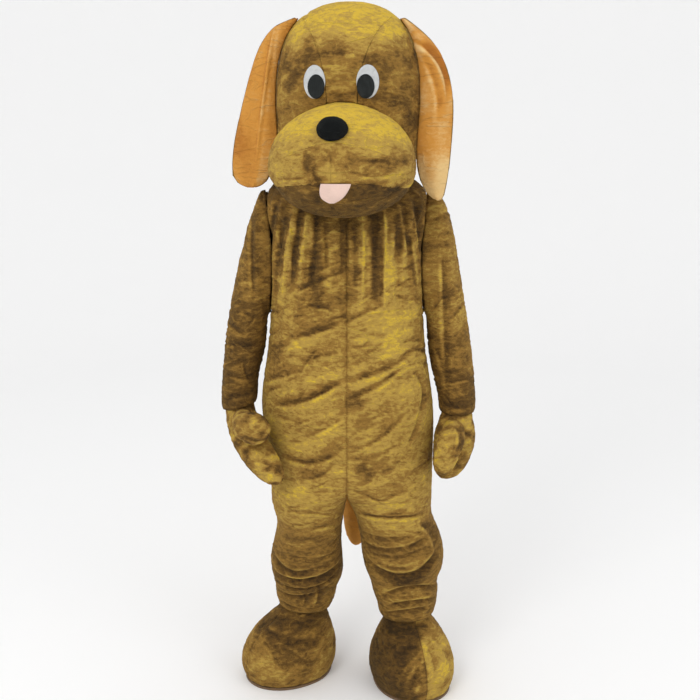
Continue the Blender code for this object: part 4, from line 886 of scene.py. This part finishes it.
class COSTUME_OT_suit(bpy.types.Operator):
    """Two fronts and two backs, gathered at the neck, creased across the body and stacked at the ankles"""

    bl_idname = "costume.suit"
    bl_label = "Suit"

    def execute(self, context):
        sizes = context.scene.costume_cloth
        turned = {**FRONT_STROKES, "x0": -FRONT_STROKES["x0"], "x1": -FRONT_STROKES["x1"]}
        halves = (("front", -1, 2, FRONT_CREASES, FRONT_STROKES), ("back", 1, 1, BACK_CREASES, turned))
        for half, facing, split, creases, strokes in halves:
            for side in SIDES:
                cloth = Cloth(f"{half}_{side}", "plush_gold", split)
                cloth.nap_and_shading += tone_by(SUIT_TONE, cloth.height)
                cloth.crease(creases, sizes.folds, facing)
                cloth.brush(strokes, facing)
                chest = smooth((cloth.height - CHEST_FOOT) / BLEND)
                leg = smooth((LEG_TOP - cloth.height) / BLEND)
                belly = 1 - chest - leg
                slope, x = (0.35, (0, 0.21)) if side == "left" else (0.30, (-0.21, 0))
                seed = 3 * len(half) + len(side)
                for count, height, turn in (
                    (46, (1.06, 1.32), (0.15, 0.35)), (44, (0.66, 1.08), (slope + 0.05, 0.25)),
                    (26, (0.46, 0.66), (0.05, 0.2)), (18, (0.20, 0.46), (0.0, 0.25)),
                ):
                    seed += 1
                    cloth.crumple(facing, count, seed, x, height, turn, (0.025, 0.085), sizes.ripple * 2.3)
                cloth.mottle((0.070, 0.026), 0.55, slope, belly)
                cloth.mottle((0.020, 0.085), 0.7, 0.0, chest)
                cloth.mottle((0.050, 0.012), 0.6, 0.25, chest)
                cloth.mottle((0.075, 0.020), 0.5, -0.05, leg)
                cloth.ripple((0.052, 0.014), sizes.ripple, slope, belly, 0.25)
                cloth.ripple((0.012, 0.060), sizes.ripple, 0.0, chest, 0.25)
                cloth.ripple((0.045, 0.012), sizes.ripple * 1.2, 0.25, chest, 0.35)
                cloth.ripple((0.050, 0.012), sizes.ripple, -0.05, leg, 0.25)
                cloth.ripple((0.014, 0.007), sizes.ripple * 0.5, slope, 1.0, 0.3)
                sewn(cloth, sizes, (sizes.seam_depth, sizes.seam_width))
        return {"FINISHED"}


class COSTUME_OT_sleeves(bpy.types.Operator):
    """Two sleeves, creased at the elbow and lengthwise, and the band round the neck"""

    bl_idname = "costume.sleeves"
    bl_label = "Sleeves and neckband"

    def execute(self, context):
        sizes = context.scene.costume_cloth
        for side, rows, tone, x in (
            ("left", SLEEVE_LEFT_CREASES, 0.0, (0.20, 0.34)), ("right", SLEEVE_RIGHT_CREASES, 0.45, (-0.34, -0.20)),
        ):
            cloth = Cloth(f"sleeve_{side}", "plush_gold", split=2)
            cloth.nap_and_shading += tone_by(SLEEVE_TONE, cloth.height) - tone
            cloth.crease(rows, sizes.folds, -1)
            cloth.crease(SLEEVE_BACK_CREASES, sizes.folds, 1)
            for facing in (-1, 1):
                seed = 40 + len(side) + facing
                cloth.crumple(facing, 34, seed, x, (0.82, 1.32), (0.1, 0.35), (0.02, 0.07), sizes.ripple * 2.3)
            cloth.mottle((0.060, 0.022), 0.8, 0.1)
            cloth.ripple((0.040, 0.014), sizes.ripple, 0.1, 1.0, 0.3)
            cloth.ripple((0.014, 0.007), sizes.ripple * 0.5, -0.2, 1.0, 0.3)
            sewn(cloth, sizes, (sizes.seam_depth, sizes.seam_width))
        band = Cloth("neckband", "plush_gold")
        band.nap_and_shading -= 0.4
        band.ripple((0.008, 0.060), sizes.ripple * 0.9)
        sewn(band, sizes, (0.0012, 0.006))
        return {"FINISHED"}


class COSTUME_OT_mitts(bpy.types.Operator):
    """Two mitts with their thumbs"""

    bl_idname = "costume.mitts"
    bl_label = "Mitts"

    def execute(self, context):
        sizes = context.scene.costume_cloth
        for side, rows, tone, x in (
            ("left", MITT_LEFT_CREASES, 0.2, (0.22, 0.35)), ("right", MITT_RIGHT_CREASES, 0.3, (-0.33, -0.17)),
        ):
            for part in ("mitt", "thumb"):
                cloth = Cloth(f"{part}_{side}", "plush_gold")
                cloth.nap_and_shading -= tone
                cloth.mottle((0.024, 0.016), 1.9, 0.3)
                for facing in (-1, 1):
                    seed = 60 + len(part) + facing
                    cloth.crumple(facing, 16, seed, x, (0.66, 0.84), (0.4, 0.7), (0.015, 0.04), sizes.ripple * 2)
                cloth.crease(rows, sizes.folds * 0.6, -1)
                cloth.crease(MITT_BACK_CREASES, sizes.folds * 0.6, 1)
                cloth.ripple((0.022, 0.010), sizes.ripple * 1.2, 0.3, 1.0, 0.5)
                cloth.ripple((0.012, 0.007), sizes.ripple * 0.6, -0.3, 1.0, 0.4)
                sewn(cloth, sizes, (0.002, 0.007))
        return {"FINISHED"}


class COSTUME_OT_feet(bpy.types.Operator):
    """Two foot covers, each of two halves with a seam over the toe, and their soles"""

    bl_idname = "costume.feet"
    bl_label = "Feet"

    def execute(self, context):
        sizes = context.scene.costume_cloth
        for side, rows in (("left", FOOT_LEFT_CREASES), ("right", FOOT_RIGHT_CREASES)):
            for half in ("outer", "inner"):
                cloth = Cloth(f"foot_{side}_{half}", "plush_gold")
                tone = FOOT_TONE[side, half]
                if (side, half) == ("left", "inner"):
                    # It is darkest by the other foot and lighter towards the seam over the toe.
                    tone = tone + 2.2 * smooth((cloth.out[:, 0] - 0.12) / 0.10)
                front = smooth((0.03 - cloth.out[:, 1]) / 0.08)
                ankle = smooth((cloth.height - 0.11) / 0.08)
                cloth.nap_and_shading += front * tone - (1 - front) * 0.3 - 1.1 * ankle
                cloth.mottle((0.050, 0.022), 0.8, 0.6)
                cloth.crease(rows, sizes.folds, -1)
                cloth.crease(FOOT_BACK_CREASES, sizes.folds, 1)
                cloth.brush(FOOT_STROKES, -1)
                cloth.ripple((0.030, 0.012), sizes.ripple * 1.2, 0.5, 1.0, 0.5)
                sewn(cloth, sizes, (sizes.seam_depth, sizes.seam_width))
            sole = Cloth(f"sole_{side}", "sole_vinyl", split=0)
            sole.finish(bpy.data.materials.get("coated_cloth") or coated("coated_cloth", tuple(sizes.sole)))
        return {"FINISHED"}


class COSTUME_OT_head(bpy.types.Operator):
    """The head's sides, back and forehead"""

    bl_idname = "costume.head"
    bl_label = "Head"

    def execute(self, context):
        sizes = context.scene.costume_cloth
        for node in ("head_side_left", "head_side_right", "head_back", "forehead"):
            cloth = Cloth(node, "plush_gold", split=2)
            # Painted light: the crown, which faces up, is lighter.
            lit_crown = smooth((cloth.height - 1.68) / 0.10)
            cloth.nap_and_shading += 2.0 * lit_crown - (0.25 if node == "forehead" else 0.5)
            cloth.mottle((0.045, 0.022), 0.9, 0.3)
            cloth.move += 0.0012 * smooth(cloth.away / 0.03)
            behind = smooth((-0.100 - cloth.out[:, 0]) / 0.03) * smooth((cloth.out[:, 1] + 0.036) / 0.03)
            cloth.move += EAR_PUFF * behind * smooth((cloth.height - 1.46) / 0.05)
            facing = 1 if node == "head_back" else -1
            seed, place = len(node), ((-0.16, 0.16), (1.42, 1.80))
            cloth.crumple(facing, 30, seed, *place, (-0.1, 0.3), (0.02, 0.08), sizes.ripple * 1.9)
            cloth.crease(HEAD_BACK_CREASES, sizes.folds, 1)
            cloth.brush(HEAD_STROKES, -1)
            cloth.ripple((0.045, 0.020), sizes.ripple * 0.8, 0.2, 1.0, 0.3)
            cloth.ripple((0.018, 0.010), sizes.ripple * 0.4, -0.3, 1.0, 0.3)
            sewn(cloth, sizes, (0.0003, 0.006, -0.05))
        return {"FINISHED"}


class COSTUME_OT_muzzle(bpy.types.Operator):
    """The muzzle's top, its cheeks and the chin"""

    bl_idname = "costume.muzzle"
    bl_label = "Muzzle"

    def execute(self, context):
        sizes = context.scene.costume_cloth
        for node, tone in MUZZLE_TONE.items():
            cloth = Cloth(node, "plush_gold", split=2)
            cloth.reach = MUZZLE_REACH
            cloth.nap_and_shading += tone
            # Painted light: the muzzle's top is lighter where it faces up.
            if node == "muzzle_top":
                cloth.nap_and_shading += 2.0 * smooth((cloth.normal[:, 2] - 0.15) / 0.6)
            cloth.mottle((0.040, 0.020), 0.9, 0.3)
            seed, place = 7 * len(node), ((-0.16, 0.14), (1.33, 1.50))
            cloth.crumple(-1, 26, seed, *place, (0.1, 0.4), (0.02, 0.07), sizes.ripple * 1.8)
            cloth.crease(MUZZLE_CREASES, sizes.folds, -1)
            cloth.brush(MUZZLE_STROKES, -1)
            cloth.ripple((0.035, 0.016), sizes.ripple * 0.8, 0.2, 1.0, 0.3)
            cloth.ripple((0.016, 0.009), sizes.ripple * 0.5, -0.2, 1.0, 0.3)
            sewn(cloth, sizes, (0.0008, 0.006, -0.12))
        return {"FINISHED"}


class COSTUME_OT_ears(bpy.types.Operator):
    """Two ears, each a soft peach face sewn to a golden back"""

    bl_idname = "costume.ears"
    bl_label = "Ears"

    def execute(self, context):
        sizes = context.scene.costume_cloth
        # From the peach of the pile at rest: end on, brushed away, at rest, and brushed up to cream.
        red, green, blue = sizes.peach
        stops = [(red * r, green * g, blue * b) for r, g, b in ((0.34, 0.24, 0.22), (0.68, 0.56, 0.5), (1, 1, 1))]
        stops.append([min(1.0, share) for share in (red * 1.27, green * 1.9, blue * 4.4)])
        peach = plush("peach_plush", stops, 0.60, 0.45, 0.15, (1.0, 0.7, 0.4, 1.0))
        for side, rows in (("left", EAR_LEFT_CREASES), ("right", EAR_RIGHT_CREASES)):
            face = Cloth(f"ear_{side}_face", "plush_peach", faces=-1)
            if side == "left":
                # Lighter towards the tip, and painted light where it is sewn on, lifting the shade at its top.
                tip, root = smooth((1.62 - face.height) / 0.26), smooth((face.height - 1.66) / 0.06)
                face.nap_and_shading += 0.35 + 1.3 * tip + 0.6 * root
            else:
                # Painted light along the inner side of its long ridge, which turns away from the key light, and
                # lighter at the tip.
                inner = face.out[:, 0] + 0.200 - 0.15 * (face.height - 1.61)
                face.nap_and_shading += 0.8 * smooth(inner / 0.012) - 0.1 + 0.3 * smooth((1.42 - face.height) / 0.04)
            face.mottle((0.030, 0.060), 0.9)
            face.crease(rows, sizes.folds)
            face.ripple((0.030, 0.050), sizes.ripple * 0.8)
            face.sink_seams(*EAR_SEAM)
            face.finish(peach)
            # The back follows the face's folds from behind, a little wider.
            back = Cloth(f"ear_{side}_back", "plush_gold", faces=1)
            back.crease({**rows, "width": 1.6 * rows["width"]}, -sizes.folds)
            back.ripple((0.040, 0.030), sizes.ripple)
            back.sink_seams(*EAR_SEAM)
            back.finish(gold_plush(sizes), follow=np.max)
        return {"FINISHED"}


class COSTUME_OT_eyes(bpy.types.Operator):
    """Two white eyes with a satin finish and pupils of dark mesh"""

    bl_idname = "costume.eyes"
    bl_label = "Eyes"

    def execute(self, context):
        sizes = context.scene.costume_cloth
        white = satin("eye_satin", tuple(sizes.white))
        dark = netting("eye_netting", tuple(sizes.mesh))
        for side in SIDES:
            eye = Cloth(f"eye_white_{side}", "eye_white", faces=-1)
            eye.ripple((0.018, 0.012), 0.0006, 0.6)
            eye.finish(white)
            pupil = Cloth(f"pupil_{side}", "eye_mesh", faces=-1)
            pupil.ripple((0.020, 0.014), 0.0004, 0.4)
            pupil.finish(dark)
        return {"FINISHED"}


class COSTUME_OT_nose(bpy.types.Operator):
    """The stuffed nose and the felt tongue"""

    bl_idname = "costume.nose"
    bl_label = "Nose and tongue"

    def execute(self, context):
        sizes = context.scene.costume_cloth
        stops = [tuple(share * times for share in sizes.black) for times in (0.5, 1.0, 2.2)]
        nose = Cloth("nose", "plush_black")
        nose.ripple((0.012, 0.008), 0.0007, 0.3)
        nose.finish(plush("black_plush", stops, 0.5, 0.8, 0.03, (0.6, 0.65, 0.65, 1.0), 0.05))
        tongue = Cloth("tongue", "felt_pink", faces=-1)
        tongue.ripple((0.015, 0.015), 0.0005)
        tongue.finish(felt("pink_felt", tuple(sizes.pink)))
        return {"FINISHED"}


class COSTUME_OT_tail(bpy.types.Operator):
    """The stuffed tail"""

    bl_idname = "costume.tail"
    bl_label = "Tail"

    def execute(self, context):
        sizes = context.scene.costume_cloth
        tail = Cloth("tail", "plush_peach")
        tail.nap_and_shading += 0.15
        tail.ripple((0.030, 0.020), sizes.ripple * 1.4)
        tail.finish(bpy.data.materials["peach_plush"])
        return {"FINISHED"}


def lamp(name, spot, target, size, watts):
    """A soft square light at spot, turned to target."""
    light = bpy.data.lights.new(name, "AREA")
    light.shape, light.size, light.energy = "SQUARE", size, watts
    made = bpy.data.objects.new(name, light)
    made.location = spot
    made.rotation_euler = (Vector(target) - Vector(spot)).to_track_quat("-Z", "Y").to_euler()
    bpy.context.scene.collection.objects.link(made)


class COSTUME_OT_stage(bpy.types.Operator):
    """A pale floor that curves up into a wall, soft lights and the camera"""

    bl_idname = "costume.stage"
    bl_label = "Stage"

    def execute(self, context):
        sizes = context.scene.costume_stage
        grid = bmesh.new()
        curve = [(sizes.floor * k / 4, 0.0) for k in range(1, 5)]
        for angle in np.linspace(0.1, math.pi / 2, 12):
            curve.append((sizes.floor + FLOOR_BEND * math.sin(angle), FLOOR_BEND - FLOOR_BEND * math.cos(angle)))
        curve.append((sizes.floor + FLOOR_BEND, sizes.wall))
        turns = [2 * math.pi * k / FLOOR_SIDES for k in range(FLOOR_SIDES)]
        middle = grid.verts.new((0, 0, GROUND))
        rings = [[grid.verts.new((r * math.cos(t), r * math.sin(t), GROUND + z)) for t in turns] for r, z in curve]
        for k in range(FLOOR_SIDES):
            after = (k + 1) % FLOOR_SIDES
            grid.faces.new((middle, rings[0][k], rings[0][after]))
            for low, high in zip(rings, rings[1:]):
                grid.faces.new((low[k], high[k], high[after], low[after]))
        mesh = bpy.data.meshes.new("floor")
        grid.to_mesh(mesh)
        grid.free()
        mesh.shade_smooth()
        floor = bpy.data.objects.new("floor", mesh)
        bpy.context.scene.collection.objects.link(floor)
        material, _, base, _ = blank("pale_floor", roughness=0.9, specular_ior_level=0.1)
        base.inputs["Base Color"].default_value = (*sizes.pale, 1.0)
        mesh.materials.append(material)

        world = bpy.data.worlds.new("sky")
        world.use_nodes = True
        light = world.node_tree.nodes["Background"].inputs
        light["Color"].default_value, light["Strength"].default_value = (1.0, 1.0, 1.0, 1.0), sizes.sky
        context.scene.world = world
        lamp("key", (-1.6, -3.2, 1.9), (0, 0, -0.3), 1.6, sizes.key)
        lamp("fill", (2.6, -2.4, 0.6), (0, 0, -0.5), 2.0, sizes.fill)

        camera = bpy.data.objects.new("camera", bpy.data.cameras.new("camera"))
        camera.data.sensor_width, camera.data.lens = CAMERA_LENS
        camera.location, camera.rotation_euler = CAMERA_SPOT, (CAMERA_TILT, 0, 0)
        context.scene.collection.objects.link(camera)
        context.scene.camera = camera
        context.scene.view_settings.view_transform = "Standard"
        return {"FINISHED"}


PIECES = (
    COSTUME_OT_suit,
    COSTUME_OT_sleeves,
    COSTUME_OT_mitts,
    COSTUME_OT_feet,
    COSTUME_OT_head,
    COSTUME_OT_muzzle,
    COSTUME_OT_ears,
    COSTUME_OT_eyes,
    COSTUME_OT_nose,
    COSTUME_OT_tail,
    COSTUME_OT_stage,
)


class COSTUME_PT_panel(bpy.types.Panel):
    """Lists the costume's pieces, sizes and colours"""

    bl_idname = "COSTUME_PT_panel"
    bl_label = "Dog Costume"
    bl_space_type = "VIEW_3D"
    bl_region_type = "UI"
    bl_category = "Costume"

    def draw(self, context):
        column = self.layout.column()
        for group in (context.scene.costume_cloth, context.scene.costume_stage):
            for name in group.__annotations__:
                column.prop(group, name)
        for operator in PIECES:
            column.operator(operator.bl_idname)


CLASSES = (COSTUME_PG_cloth, COSTUME_PG_stage, *PIECES, COSTUME_PT_panel)


def register():
    for made in CLASSES:
        bpy.utils.register_class(made)
    bpy.types.Scene.costume_cloth = PointerProperty(type=COSTUME_PG_cloth)
    bpy.types.Scene.costume_stage = PointerProperty(type=COSTUME_PG_stage)


def unregister():
    del bpy.types.Scene.costume_stage
    del bpy.types.Scene.costume_cloth
    for made in reversed(CLASSES):
        bpy.utils.unregister_class(made)


def main():
    register()
    for operator in PIECES:
        group, name = operator.bl_idname.split(".")
        getattr(getattr(bpy.ops, group), name)()


if __name__ == "__main__":
    main()
